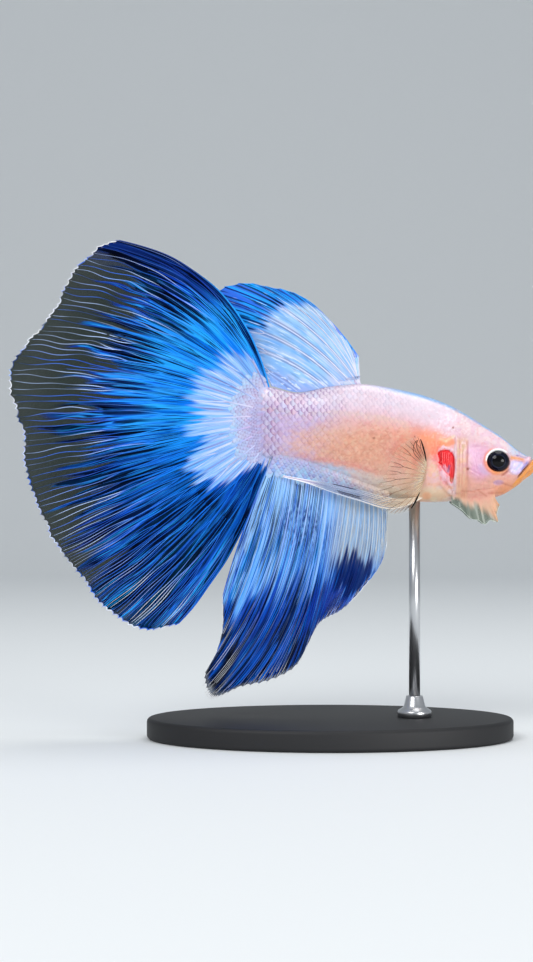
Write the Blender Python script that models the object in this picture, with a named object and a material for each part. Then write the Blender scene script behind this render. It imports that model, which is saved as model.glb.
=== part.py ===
"""Halfmoon betta, life size, swimming towards +X with its fins spread, on a plain display stand.

The origin is the centre of the stand's underside, the floor is z = 0 and +Y is the fish's left.
Lengths are in millimetres in the fish's side view (x forward, z up), and MM turns them to metres.
"""

import math

import bmesh
import bpy
import numpy as np
from mathutils import Matrix, Vector

MM = 0.001
GAP = 0.3  # clearance between two pieces that meet
FIN_THICKNESS = 0.5

# The body's side and top outlines: (x, height of the back, height of the belly, half width)
BODY_STATIONS = (
    (-12.0, 50.1, 39.5, 0.75),  # end of the tail stem
    (-8.5, 49.85, 39.6, 1.25),
    (-5.0, 49.05, 39.0, 1.8),  # narrowest part of the tail stem
    (0.0, 49.95, 37.35, 2.6),
    (5.0, 50.3, 35.4, 3.15),  # front of the dorsal fin
    (9.5, 49.6, 33.9, 3.5),
    (14.2, 48.4, 33.45, 3.65),  # pectoral fins
    (18.0, 46.8, 33.6, 3.55),  # gill covers
    (21.5, 44.65, 33.8, 3.1),
    (24.5, 42.7, 34.5, 2.5),  # eyes
    (26.8, 40.8, 35.95, 1.9),
    (28.4, 39.9, 37.2, 1.45),
    (29.3, 39.6, 37.7, 1.3),  # lips
)
SNOUT_ROUNDING = 1.1
TAIL_ROUNDING = 3.6
SECTION_POWER = 0.9  # 1 gives elliptical cross-sections, less gives fuller ones
BODY_RINGS = 32
END_CROWDING = 0.85  # 0 spaces the rings evenly, 1 crowds them most at both ends
BODY_SIDES = 20

NECK_CUT = ((14.5, 41.0), (1.0, 0.12))  # a point in the cut and the direction across it
STEM_CUT = ((-4.6, 44.0), (1.0, 0.0))
JAW_CUT = ((28.6, 39.6), (0.793, -0.61))  # from the lips down to the throat

EYE_CENTRE = (23.6, 2.3, 39.3)
EYE_RADII = (1.75, 0.9, 1.68)
GILL_CENTRE = (16.5, 2.95, 38.6)  # red gill filaments behind each gill cover
GILL_RADII = (1.05, 0.62, 2.35)
SOCKET_CLEARANCE = 0.2

# Rear, upper and front edge of a gill cover, as an oval flattened behind
COVER_CENTRE = (19.4, 38.6)
COVER_RADII = (1.95, 4.2)
COVER_PROUD = 0.2
COVER_INNER_Y = 1.9
COVER_POINTS = 22

# Fin outlines run from the first ray's tip to the last ray's tip, as (x, z)
# Share of the way along the fin's root, and x on the back there
DORSAL_BASE_X = ((0.0, 0.86, 1.0), (4.2, -3.3, -7.6))
DORSAL_MARGIN = (
    (4.1, 54.2),
    (1.9, 57.2),
    (-0.3, 59.6),
    (-3.1, 62.1),
    (-5.9, 63.5),
    (-8.7, 64.1),
    (-12.1, 64.7),
    (-15.3, 64.0),
    (-17.6, 62.5),
    (-15.4, 59.0),
    (-12.9, 55.8),
    (-10.6, 53.0),
    (-8.5, 51.1),
)
DORSAL_RAYS = 10
ANAL_BASE_X = (8.3, -8.4)
ANAL_MARGIN = (
    (8.1, 27.6),
    (7.5, 25.4),
    (4.8, 21.5),
    (1.6, 18.2),
    (-1.6, 16.1),
    (-3.3, 13.0),
    (-4.8, 10.3),
    (-8.7, 8.1),
    (-12.6, 7.2),
    (-16.9, 5.9),
    (-17.9, 8.8),
    (-16.5, 11.5),
    (-15.4, 15.2),
    (-15.3, 20.0),
)
# Where along the margin the rays end, against where along the base they start
ANAL_SPREAD = ((0.0, 0.16, 0.42, 0.62, 0.88, 1.0), (0.0, 0.2, 0.4, 0.65, 0.8, 1.0))
ANAL_BOW = ((0.0, 0.16, 0.42, 0.62, 0.88, 1.0), (0.0, 0.07, 0.03, 0.09, 0.06, -0.02))
ANAL_RAYS = 24
CAUDAL_CENTRE = (-9.7, 44.4)
CAUDAL_RADIUS = 33.9
CAUDAL_TOP_ANGLE = 52.4  # degrees above the line that points straight back
CAUDAL_BOTTOM_ANGLE = -67.4
CAUDAL_RAYS = 32
PECTORAL_BASE = ((13.6, 38.9), (12.8, 35.2))
PECTORAL_MARGIN = (
    (12.8, 42.9),
    (11.1, 42.3),
    (8.8, 40.6),
    (7.8, 38.1),
    (6.1, 35.2),
    (6.0, 33.5),
    (8.2, 31.9),
    (11.5, 32.3),
)
PECTORAL_RAYS = 12
# The folded pelvic fin's middle line and half width: (x, z, distance from the middle plane, half width)
PELVIC_STATIONS = (
    (13.3, 33.1, 1.55, 0.35),
    (9.2, 33.3, 2.5, 0.85),
    (4.0, 34.5, 2.3, 0.85),
    (-0.4, 35.8, 2.0, 0.9),
    (-2.9, 36.4, 1.75, 0.6),
    (-6.7, 37.2, 1.4, 0.12),
)
# The loose gill membrane that hangs below the throat: its root line and its hem
MEMBRANE_ROOT = ((17.0, 33.2), (20.3, 33.3), (23.7, 33.7))
MEMBRANE_HEM = (
    (17.5, 32.7),
    (19.2, 31.9),
    (20.1, 31.1),
    (20.8, 31.0),
    (21.9, 30.4),
    (22.6, 31.0),
    (23.6, 30.7),
    (23.5, 31.8),
    (23.9, 33.1),
)
MEMBRANE_Y = (1.3, 1.75)  # at the root and at the hem

BASE_SIZE = (52.0, 34.0, 3.0)
BASE_BEVEL = 0.6
ROD_X = 12.0
ROD_RADIUS = 0.8
FERRULE_PROFILE = ((2.4, 0.0), (2.4, 0.8), (1.5, 1.5), (1.2, 3.0))  # radius, height

COLOURS = {  # base colour, roughness, metallic
    "flesh": ((0.90, 0.66, 0.60), 0.45, 0.0),
    "jaw": ((0.92, 0.60, 0.36), 0.45, 0.0),
    "gill": ((0.80, 0.07, 0.06), 0.35, 0.0),
    "eye": ((0.01, 0.01, 0.015), 0.08, 0.0),
    "caudal_fin": ((0.04, 0.18, 0.72), 0.4, 0.0),
    "dorsal_fin": ((0.36, 0.58, 0.92), 0.4, 0.0),
    "anal_fin": ((0.12, 0.30, 0.78), 0.4, 0.0),
    "pelvic_fin": ((0.78, 0.82, 0.92), 0.4, 0.0),
    "pectoral_fin": ((0.80, 0.62, 0.50), 0.4, 0.0),
    "gill_membrane": ((0.62, 0.66, 0.62), 0.4, 0.0),
    "stand_paint": ((0.03, 0.03, 0.035), 0.5, 0.0),
    "stand_steel": ((0.60, 0.60, 0.62), 0.3, 1.0),
}


# ---------------------------------------------------------------- curves


def smooth(x, knots, values):
    """A smooth curve through (knots, values): cubic Hermite with slopes from the neighbours."""
    knots = np.asarray(knots, float)
    values = np.asarray(values, float)
    slopes = np.gradient(values, knots)
    i = np.clip(np.searchsorted(knots, x) - 1, 0, len(knots) - 2)
    span = knots[i + 1] - knots[i]
    t = (x - knots[i]) / span
    rise = (3 - 2 * t) * t * t
    ease = (1 - t) * (1 - t) * t * slopes[i] - (1 - t) * t * t * slopes[i + 1]
    return values[i] * (1 - rise) + values[i + 1] * rise + span * ease


def along(points, share):
    """The point at each share, 0 to 1, of the length of a smooth line through the points."""
    points = np.asarray(points, float)
    steps = np.linalg.norm(np.diff(points, axis=0), axis=1)
    knots = np.concatenate([[0.0], np.cumsum(steps)]) / steps.sum()
    return np.stack([smooth(share, knots, column) for column in points.T], axis=-1)


def bump(x, centre, width):
    """A smooth hill, 1 at the centre and near 0 two widths away."""
    return np.exp(-(((x - centre) / width) ** 2))


def ease_in(x, start, end):
    """0 before start, 1 after end and smooth between."""
    t = np.clip((x - start) / (end - start), 0.0, 1.0)
    return t * t * (3 - 2 * t)


# ---------------------------------------------------------------- objects


def material(name):
    found = bpy.data.materials.get(name)
    if found:
        return found
    colour, roughness, metallic = COLOURS[name]
    made = bpy.data.materials.new(name)
    made.use_nodes = True
    shader = made.node_tree.nodes["Principled BSDF"]
    shader.inputs["Base Color"].default_value = (*colour, 1.0)
    shader.inputs["Roughness"].default_value = roughness
    shader.inputs["Metallic"].default_value = metallic
    return made


def group(name):
    """The empty that a group of pieces hangs from, at the origin."""
    found = bpy.data.objects.get(name)
    if found:
        return found
    made = bpy.data.objects.new(name, None)
    made.empty_display_size = 10 * MM
    bpy.context.scene.collection.objects.link(made)
    return made


def place(name, mesh, parent):
    """An object with its origin in the middle of its mesh, hung from its group's empty."""
    obj = bpy.data.objects.new(name, mesh)
    bpy.context.scene.collection.objects.link(obj)
    corners = [Vector(corner) for corner in obj.bound_box]
    middle = (corners[0] + corners[6]) / 2
    mesh.transform(Matrix.Translation(-middle))
    obj.location = middle
    obj.parent = group(parent)
    return obj


def new_object(name, mesh, finish):
    """A piece of the fish or of its stand, smooth but for its sharp edges, in its own material."""
    obj = place(name, mesh, "stand" if name.startswith("stand") else "fish")
    mesh.materials.clear()
    mesh.materials.append(material(finish))
    mesh.shade_smooth()
    mesh.set_sharp_from_angle(angle=math.radians(40))
    return obj


def mesh_from(points, faces, name="shape"):
    """A mesh from points in millimetres, with every face turned outwards."""
    mesh = bpy.data.meshes.new(name)
    mesh.from_pydata((np.asarray(points, float) * MM).tolist(), [], faces)
    form = bmesh.new()
    form.from_mesh(mesh)
    bmesh.ops.recalc_face_normals(form, faces=form.faces)
    form.to_mesh(mesh)
    form.free()
    return mesh


def cut_mesh(mesh, point, direction, keep_front):
    """A copy of a closed mesh cut by a plane across the side view, and closed again."""
    form = bmesh.new()
    form.from_mesh(mesh)
    normal = Vector((direction[0], 0.0, direction[1])).normalized()
    shift = GAP / 2 if keep_front else -GAP / 2
    place = (Vector((point[0], 0.0, point[1])) + normal * shift) * MM
    every_part = form.verts[:] + form.edges[:] + form.faces[:]
    bmesh.ops.bisect_plane(
        form,
        geom=every_part,
        dist=1e-7,
        plane_co=place,
        plane_no=normal,
        clear_inner=keep_front,
        clear_outer=not keep_front,
    )
    rim = [edge for edge in form.edges if edge.is_boundary]
    bmesh.ops.edgeloop_fill(form, edges=rim)
    bmesh.ops.recalc_face_normals(form, faces=form.faces)
    cut = bpy.data.meshes.new(mesh.name)
    form.to_mesh(cut)
    form.free()
    return cut


def boolean(obj, other, operation):
    modifier = obj.modifiers.new(operation.lower(), "BOOLEAN")
    modifier.operation = operation
    modifier.object = other
    return modifier


def helper(name, mesh):
    """A cutter: it shapes other pieces, and isn't a piece itself."""
    obj = place(name, mesh, "fish")
    obj.hide_render = True
    obj.display_type = "WIRE"
    return obj


# ---------------------------------------------------------------- body


def body_section(x, grow=0.0):
    """Middle height, half height and half width of the body at x, with both ends rounded."""
    stations = np.asarray(BODY_STATIONS)
    reach = np.clip(x, stations[0, 0], stations[-1, 0])
    back, belly, half = (smooth(reach, stations[:, 0], stations[:, i]) for i in (1, 2, 3))
    snout = stations[-1, 0] - SNOUT_ROUNDING
    tail = stations[0, 0] + TAIL_ROUNDING
    front = np.clip((x - snout) / (SNOUT_ROUNDING + grow), 0.0, 1.0)
    rear = np.clip((tail - x) / (TAIL_ROUNDING + grow), 0.0, 1.0)
    rounding = np.sqrt((1 - front**2) * (1 - rear**2))
    height = (back - belly) / 2 + grow
    return (back + belly) / 2, height * rounding, (half + grow) * rounding


def body_mesh(grow=0.0):
    """The whole body, snout to tail stem, as rings round a lengthwise line."""
    stations = np.asarray(BODY_STATIONS)
    first, last = stations[0, 0] - grow, stations[-1, 0] + grow
    even = np.linspace(0.0, 1.0, BODY_RINGS + 2)
    share = (1 - END_CROWDING) * even + END_CROWDING * (1 - np.cos(math.pi * even)) / 2
    x = first + (last - first) * share
    middle, height, half = body_section(x, grow)
    angle = np.linspace(0.0, 2 * math.pi, BODY_SIDES, endpoint=False)
    across = np.sign(np.sin(angle)) * np.abs(np.sin(angle)) ** SECTION_POWER
    up = np.sign(np.cos(angle)) * np.abs(np.cos(angle)) ** SECTION_POWER
    points = [(first, 0.0, middle[0])]
    for i in range(1, BODY_RINGS + 1):
        points += [(x[i], half[i] * a, middle[i] + height[i] * u) for a, u in zip(across, up)]
    points.append((last, 0.0, middle[-1]))
    faces = []
    end = len(points) - 1
    for k in range(BODY_SIDES):
        following = (k + 1) % BODY_SIDES
        faces.append((0, 1 + k, 1 + following))
        for ring in range(BODY_RINGS - 1):
            a = 1 + ring * BODY_SIDES
            b = a + BODY_SIDES
            faces.append((a + k, b + k, b + following, a + following))
        last_ring = 1 + (BODY_RINGS - 1) * BODY_SIDES
        faces.append((last_ring + k, end, last_ring + following))
    return mesh_from(points, faces, "body")


def ellipsoid(centre, radii, side, grow=0.0, segments=14, rings=9):
    form = bmesh.new()
    bmesh.ops.create_uvsphere(form, u_segments=segments, v_segments=rings, radius=1.0)
    for vert in form.verts:
        x, y, z = vert.co
        vert.co = Vector(
            (
                centre[0] + x * (radii[0] + grow),
                side * centre[1] + y * (radii[1] + grow),
                centre[2] + z * (radii[2] + grow),
            )
        )
        vert.co *= MM
    mesh = bpy.data.meshes.new("ellipsoid")
    form.to_mesh(mesh)
    form.free()
    return mesh


def cover_prism(side, grow, inner_y, outer_y):
    """The gill cover's outline, an oval with a flatter rear edge, carried straight across."""
    angle = np.linspace(0.0, 2 * math.pi, COVER_POINTS, endpoint=False)
    flat = 1 - 0.22 * np.clip(-np.cos(angle), 0.0, 1.0)
    x = COVER_CENTRE[0] + (COVER_RADII[0] + grow) * np.cos(angle) * flat
    z = COVER_CENTRE[1] + (COVER_RADII[1] + grow) * np.sin(angle)
    points = [(px, side * y, pz) for y in (inner_y, outer_y) for px, pz in zip(x, z)]
    count = COVER_POINTS
    faces = [tuple(range(count)), tuple(range(count, 2 * count))]
    faces += [(k, (k + 1) % count, count + (k + 1) % count, count + k) for k in range(count)]
    return mesh_from(points, faces, "cover")


def build_body():
    whole = body_mesh()
    trunk = cut_mesh(cut_mesh(whole, *NECK_CUT, keep_front=False), *STEM_CUT, keep_front=True)
    new_object("trunk", trunk, "flesh")
    new_object("tail_stem", cut_mesh(whole, *STEM_CUT, keep_front=False), "flesh")
    new_object("lower_jaw", cut_mesh(whole, *JAW_CUT, keep_front=True), "jaw")
    front = cut_mesh(whole, *NECK_CUT, keep_front=True)
    head = new_object("head", cut_mesh(front, *JAW_CUT, keep_front=False), "flesh")
    proud_body = helper("cutter_proud_body", body_mesh(COVER_PROUD))
    for side, word in ((-1, "right"), (1, "left")):
        new_object(f"eye_{word}", ellipsoid(EYE_CENTRE, EYE_RADII, side), "eye")
        new_object(f"gill_{word}", ellipsoid(GILL_CENTRE, GILL_RADII, side), "gill")
        eye_socket = ellipsoid(EYE_CENTRE, EYE_RADII, side, SOCKET_CLEARANCE)
        gill_slot = ellipsoid(GILL_CENTRE, GILL_RADII, side, SOCKET_CLEARANCE)
        pocket = cover_prism(side, SOCKET_CLEARANCE, COVER_INNER_Y - GAP, 8.0)
        boolean(head, helper(f"cutter_eye_{word}", eye_socket), "DIFFERENCE")
        boolean(head, helper(f"cutter_cover_{word}", pocket), "DIFFERENCE")
        boolean(head, helper(f"cutter_gill_{word}", gill_slot), "DIFFERENCE")
        plate = new_object(f"gill_cover_{word}", cover_prism(side, 0.0, COVER_INNER_Y, 6.0), "flesh")
        boolean(plate, proud_body, "INTERSECT")


# ---------------------------------------------------------------- fins


def fan(base, margin, bow, skew, rows):
    """Rows of points from the base line to the margin: each ray bows to one side by bow times its length."""
    reach = np.linspace(0.0, 1.0, rows + 1)[None, :, None]
    chord = margin - base
    sideways = np.stack([-chord[:, 1], chord[:, 0]], axis=-1)
    arch = 4 * reach * (1 - reach) * (1 + skew * (reach - 0.5))
    return base[:, None] + chord[:, None] * reach + (bow[:, None] * sideways)[:, None] * arch


def fin_object(name, flat, depth, finish):
    """A fin sheet from its side view points and their distance from the middle plane, made thick."""
    columns, rows = flat.shape[:2]
    points = np.stack([flat[..., 0], depth, flat[..., 1]], axis=-1).reshape(-1, 3)
    faces = []
    for c in range(columns - 1):
        for r in range(rows - 1):
            a = c * rows + r
            faces.append((a, a + 1, a + rows + 1, a + rows))
    obj = new_object(name, mesh_from(points, faces, name), finish)
    solidify = obj.modifiers.new("thickness", "SOLIDIFY")
    solidify.thickness = FIN_THICKNESS * MM
    solidify.offset = 0.0
    return obj


def scallop(margin, centre, rays, depth):
    """The margin pulled in between the ray tips by the given share of its distance from the centre."""
    count = len(margin)
    tip = np.cos(np.linspace(0.0, rays, count) * 2 * math.pi)
    pull = depth * (1 - tip) / 2
    return margin + (np.asarray(centre) - margin) * pull[:, None]


def caudal_fin():
    columns = 2 * CAUDAL_RAYS + 1
    a = np.linspace(0.0, 1.0, columns)
    tail_x = BODY_STATIONS[0][0]
    middle = (BODY_STATIONS[0][1] + BODY_STATIONS[0][2]) / 2
    root = np.radians(84.0 - 168.0 * a)
    half_depth = (BODY_STATIONS[0][1] - BODY_STATIONS[0][2]) / 2
    base_x = tail_x + TAIL_ROUNDING - (TAIL_ROUNDING + GAP) * np.cos(root)
    base_z = middle + (half_depth + GAP) * np.sin(root)
    degrees = CAUDAL_TOP_ANGLE + (CAUDAL_BOTTOM_ANGLE - CAUDAL_TOP_ANGLE) * a
    radius = CAUDAL_RADIUS + 2.9 * bump(degrees, 13.0, 9.0) + 0.8 * bump(degrees, 42.0, 8.0)
    radius -= 1.2 * bump(degrees, 54.0, 4.0) + 5.0 * bump(degrees, -72.0, 8.0)
    turn = np.radians(degrees)
    margin = np.stack(
        [CAUDAL_CENTRE[0] - radius * np.cos(turn), CAUDAL_CENTRE[1] + radius * np.sin(turn)], axis=-1
    )
    margin = scallop(margin, CAUDAL_CENTRE, CAUDAL_RAYS, 0.018)
    upper = np.clip(1 - a / 0.5, 0.0, 1.0) ** 1.5
    lower = np.clip(a / 0.5 - 1, 0.0, 1.0) ** 1.5
    bow = -0.158 * upper + 0.06 * lower
    rows = 7
    flat = fan(np.stack([base_x, base_z], axis=-1), margin, bow, 0.0, rows)
    t = np.linspace(0.0, 1.0, rows + 1)[None, :]
    a = a[:, None]
    # The top edge leans to the fish's right and the bottom edge to its left, clear of the other fins.
    lean = -1.3 * (1 - ease_in(a, 0.0, 0.3)) + 0.9 * ease_in(a, 0.75, 1.0)
    wave = 1.5 * np.sin(2 * math.pi * (1.6 * a + 0.05)) + 0.7 * np.sin(2 * math.pi * (6.5 * a + 0.2))
    middle_part = ease_in(a, 0.0, 0.2) * (1 - ease_in(a, 0.85, 1.0))
    pleat = 0.09 * np.cos(np.pi * np.arange(columns))[:, None] * ease_in(t, 0.1, 0.5)
    depth = lean * (1 - np.exp(-t / 0.12)) + wave * middle_part * t**1.6 + pleat
    return fin_object("caudal_fin", flat, depth, "caudal_fin")


def back_line(x):
    """The fin base along the back, just clear of the body."""
    middle, height, _ = body_section(x)
    return np.stack([x, middle + height + GAP], axis=-1)


def belly_line(x):
    middle, height, _ = body_section(x)
    return np.stack([x, middle - height - GAP], axis=-1)


def dorsal_fin():
    columns = 2 * DORSAL_RAYS + 1
    a = np.linspace(0.0, 1.0, columns)
    base = back_line(smooth(a, *DORSAL_BASE_X))
    margin = scallop(along(DORSAL_MARGIN, a), base.mean(axis=0), DORSAL_RAYS, 0.02)
    bow = -0.085 * ease_in(a, 0.0, 0.2) * (1 - 0.7 * ease_in(a, 0.75, 1.0))
    rows = 6
    flat = fan(base, margin, bow, 0.0, rows)
    t = np.linspace(0.0, 1.0, rows + 1)[None, :]
    a = a[:, None]
    wave = 0.4 * np.sin(2 * math.pi * (2.5 * a + 0.1)) * t**1.5
    depth = 1.9 * ease_in(a, 0.35, 0.85) * (1 - 0.6 * ease_in(a, 0.88, 1.0)) * t**0.6 + wave
    return fin_object("dorsal_fin", flat, depth, "dorsal_fin")


def anal_fin():
    columns = 2 * ANAL_RAYS + 1
    a = np.linspace(0.0, 1.0, columns)
    base = belly_line(np.linspace(*ANAL_BASE_X, columns))
    margin = along(ANAL_MARGIN, smooth(a, *ANAL_SPREAD))
    margin = scallop(margin, base.mean(axis=0), ANAL_RAYS, 0.012)
    bow = smooth(a, *ANAL_BOW)
    rows = 6
    flat = fan(base, margin, bow, 0.35, rows)
    t = np.linspace(0.0, 1.0, rows + 1)[None, :]
    a = a[:, None]
    wave = 0.55 * np.sin(2 * math.pi * (3.0 * a + 0.3)) * t**1.5 * (1 - ease_in(a, 0.8, 1.0))
    depth = -0.9 * ease_in(a, 0.6, 1.0) * (1 - np.exp(-t / 0.12)) + wave
    return fin_object("anal_fin", flat, depth, "anal_fin")


def pectoral_fin(side, word):
    """A paddle on the flank, spread and held a little off the body."""
    columns = PECTORAL_RAYS + 1
    a = np.linspace(0.0, 1.0, columns)
    base = along(PECTORAL_BASE, a)
    margin = along(PECTORAL_MARGIN, a)
    bow = -0.04 * np.cos(math.pi * a)
    rows = 4
    flat = fan(base, margin, bow, 0.0, rows)
    middle, height, half = body_section(base[:, 0])
    sine = np.sqrt(1 - np.clip(np.abs((base[:, 1] - middle) / height), 0, 1) ** (2 / SECTION_POWER))
    root = half * sine**SECTION_POWER + GAP + FIN_THICKNESS / 2
    t = np.linspace(0.0, 1.0, rows + 1)[None, :]
    lift = 1.9 * np.sin(math.pi * (0.15 + 0.7 * a))[:, None] * t
    depth = side * (root[:, None] + lift)
    return fin_object(f"pectoral_fin_{word}", flat, depth, "pectoral_fin")


def pelvic_fin(side, word):
    """A slender blade laid back along the belly."""
    stations = along(PELVIC_STATIONS, np.linspace(0.0, 1.0, 13))
    across = np.linspace(-1.0, 1.0, 4)
    half = stations[:, 3][:, None] * across[None, :]
    flat = np.stack([stations[:, 0][:, None] + 0.25 * half, stations[:, 1][:, None] + half], axis=-1)
    depth = side * (stations[:, 2][:, None] - 0.15 * half)
    return fin_object(f"pelvic_fin_{word}", flat, depth, "pelvic_fin")


def gill_membrane(side, word):
    """The loose frill under the throat."""
    columns, rows = 17, 2
    share = np.linspace(0.0, 1.0, columns)
    root = along(MEMBRANE_ROOT, share)
    hem = along(MEMBRANE_HEM, share)
    t = np.linspace(0.0, 1.0, rows + 1)[None, :, None]
    flat = root[:, None] + (hem - root)[:, None] * t
    ripple = 0.15 * np.sin(2 * math.pi * 3 * share)[:, None] * t[..., 0]
    depth = side * (MEMBRANE_Y[0] + (MEMBRANE_Y[1] - MEMBRANE_Y[0]) * t[..., 0] + ripple)
    return fin_object(f"gill_membrane_{word}", flat, depth, "gill_membrane")


def build_fins():
    caudal_fin()
    dorsal_fin()
    anal_fin()
    for side, word in ((-1, "right"), (1, "left")):
        pectoral_fin(side, word)
        pelvic_fin(side, word)
        gill_membrane(side, word)


# ---------------------------------------------------------------- stand


def turned(profile, foot, x, segments=24):
    """A solid of revolution about a vertical line at x, from (radius, height) pairs above the foot."""
    points = []
    for radius, height in profile:
        for k in range(segments):
            angle = 2 * math.pi * k / segments
            points.append((x + radius * math.cos(angle), radius * math.sin(angle), foot + height))
    count = len(profile)
    faces = [tuple(range(segments)), tuple((count - 1) * segments + k for k in range(segments))]
    for ring in range(count - 1):
        for k in range(segments):
            a = ring * segments
            following = (k + 1) % segments
            faces.append((a + k, a + following, a + segments + following, a + segments + k))
    return mesh_from(points, faces, "turned")


def build_stand():
    length, width, height = BASE_SIZE
    form = bmesh.new()
    bmesh.ops.create_circle(form, cap_ends=True, radius=0.5, segments=48)
    for vert in form.verts:
        vert.co = Vector((vert.co.x * length * MM, vert.co.y * width * MM, 0.0))
    raised = bmesh.ops.extrude_face_region(form, geom=form.faces[:])["geom"]
    lifted = [part for part in raised if isinstance(part, bmesh.types.BMVert)]
    bmesh.ops.translate(form, verts=lifted, vec=(0.0, 0.0, height * MM))
    bmesh.ops.recalc_face_normals(form, faces=form.faces)
    mesh = bpy.data.meshes.new("base")
    form.to_mesh(mesh)
    form.free()
    base = new_object("stand_base", mesh, "stand_paint")
    bevel = base.modifiers.new("rounded_rim", "BEVEL")
    bevel.width = BASE_BEVEL * MM
    bevel.segments = 2
    bevel.limit_method = "ANGLE"
    foot = height + GAP
    new_object("stand_ferrule", turned(FERRULE_PROFILE, foot, ROD_X), "stand_steel")
    foot += FERRULE_PROFILE[-1][1] + GAP
    middle, half_height, _ = body_section(np.array([ROD_X - ROD_RADIUS, ROD_X + ROD_RADIUS]))
    top = float((middle - half_height).min()) - GAP
    rod = turned(((ROD_RADIUS, 0.0), (ROD_RADIUS, top - foot)), foot, ROD_X, 16)
    new_object("stand_rod", rod, "stand_steel")


def main():
    for obj in list(bpy.data.objects):
        bpy.data.objects.remove(obj)
    build_body()
    build_fins()
    build_stand()


main()
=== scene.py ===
"""Looks for the halfmoon betta display model: skin, scales, eyes, fins with branching rays, and the stand.

Every surface is worked out in millimetres in the fish's own frame: x points forward, y to its left
and z up, with z = 0 on the floor and x = y = 0 in the middle of the stand. MM turns that to metres.
"""

import math
from functools import partial

import bmesh
import bpy
import numpy as np
from bpy.props import FloatProperty, FloatVectorProperty, IntProperty, PointerProperty
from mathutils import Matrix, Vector


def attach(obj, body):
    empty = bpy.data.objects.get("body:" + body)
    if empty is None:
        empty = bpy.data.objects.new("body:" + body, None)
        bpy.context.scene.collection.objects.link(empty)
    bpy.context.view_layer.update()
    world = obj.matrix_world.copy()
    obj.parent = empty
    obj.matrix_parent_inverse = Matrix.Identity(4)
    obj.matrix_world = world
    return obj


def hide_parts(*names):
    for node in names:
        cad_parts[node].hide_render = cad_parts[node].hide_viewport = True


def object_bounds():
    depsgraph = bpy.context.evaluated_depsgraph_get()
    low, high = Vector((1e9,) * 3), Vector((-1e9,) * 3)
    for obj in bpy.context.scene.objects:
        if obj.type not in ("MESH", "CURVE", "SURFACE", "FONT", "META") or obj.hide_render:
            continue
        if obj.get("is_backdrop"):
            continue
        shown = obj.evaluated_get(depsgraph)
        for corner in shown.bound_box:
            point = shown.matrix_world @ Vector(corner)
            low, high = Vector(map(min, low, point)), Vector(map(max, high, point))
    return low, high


bl_info = {
    "name": "Halfmoon betta display model",
    "version": (1, 0, 0),
    "blender": (4, 5, 0),
    "location": "3D View > Sidebar > Betta",
    "description": "Builds the skin, scales, fins, eyes and stand of a life-size halfmoon betta",
    "category": "Object",
}

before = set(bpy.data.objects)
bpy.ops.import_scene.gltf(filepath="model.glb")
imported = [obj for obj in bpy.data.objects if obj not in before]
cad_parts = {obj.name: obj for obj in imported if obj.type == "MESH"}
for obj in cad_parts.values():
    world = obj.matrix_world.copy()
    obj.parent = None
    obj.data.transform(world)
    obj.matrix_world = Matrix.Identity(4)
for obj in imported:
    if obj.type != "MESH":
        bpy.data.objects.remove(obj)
cad_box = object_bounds()

MM = 0.001
TURN = 2 * math.pi
SIDES = ((-1, "right"), (1, "left"))
OTHER_SIDE = 40  # moves the noise on the left side, so that the sides differ

# The body's outlines: (x, height of the back, height of the belly, half width)
BODY_STATIONS = (
    (-12.0, 50.1, 39.5, 0.75),
    (-8.5, 49.85, 39.6, 1.25),
    (-5.0, 49.05, 39.0, 1.8),
    (0.0, 49.95, 37.35, 2.6),
    (5.0, 50.3, 35.4, 3.15),
    (9.5, 49.6, 33.9, 3.5),
    (14.2, 48.4, 33.45, 3.65),
    (18.0, 46.8, 33.6, 3.55),
    (21.5, 44.65, 33.8, 3.1),
    (24.5, 42.7, 34.5, 2.5),
    (26.8, 40.8, 35.95, 1.9),
    (28.4, 39.9, 37.2, 1.45),
    (29.3, 39.6, 37.7, 1.3),
)
SNOUT_ROUNDING = 1.1
TAIL_ROUNDING = 3.6
SECTION_POWER = 0.9
EYE_CENTRE = (23.6, 2.3, 39.3)
EYE_RADII = (1.59, 1.05, 1.49)
# Heights, and x of the gill opening's rear and front edge there
GILL_HEIGHTS = (35.9, 36.4, 37.0, 38.0, 39.0, 40.0, 40.5, 40.9)
GILL_REAR = (16.75, 16.7, 16.6, 16.0, 15.25, 15.1, 15.15, 15.6)
GILL_FRONT = (17.0, 17.15, 17.28, 17.4, 17.4, 17.28, 17.0, 16.4)
OPERCLE_X = 17.5  # rear edge of the gill cover
MOUTH_CORNER = (26.5, 37.0)
MOUTH_FRONT = (28.55, 39.55)

# Share of the way along the back fin's root, and x on the back there
DORSAL_BASE_X = ((0.0, 0.8, 0.93, 1.0), (4.2, 0.2, -3.5, -8.3))
DORSAL_MARGIN = (
    (4.1, 54.2), (1.9, 57.2), (-0.3, 59.6), (-3.1, 62.1), (-5.9, 63.5),
    (-8.7, 64.1), (-12.1, 64.7), (-15.3, 64.0), (-17.6, 62.5), (-15.4, 59.0),
    (-12.9, 55.8), (-10.6, 53.0), (-9.2, 51.6),
)
ANAL_BASE_X = (8.3, -8.4)
ANAL_MARGIN = (
    (8.1, 27.6), (7.5, 25.4), (4.8, 21.5), (1.6, 18.2), (-1.6, 16.1),
    (-3.3, 13.0), (-4.8, 10.3), (-8.7, 8.1), (-12.6, 7.2), (-16.9, 5.9),
    (-17.9, 8.8), (-16.5, 11.5), (-15.4, 15.2), (-15.3, 20.0),
)
ANAL_SPREAD = ((0.0, 0.16, 0.42, 0.62, 0.88, 1.0), (0.0, 0.2, 0.4, 0.65, 0.8, 1.0))
ANAL_BOW = ((0.0, 0.16, 0.42, 0.62, 0.88, 1.0), (0.0, 0.07, 0.03, 0.09, 0.06, -0.02))
CAUDAL_CENTRE = (-9.7, 44.4)
CAUDAL_RADIUS = 33.9
CAUDAL_TOP_ANGLE = 52.4
CAUDAL_BOTTOM_ANGLE = -67.4
PECTORAL_BASE = ((13.4, 38.9), (12.6, 35.2))
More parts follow.
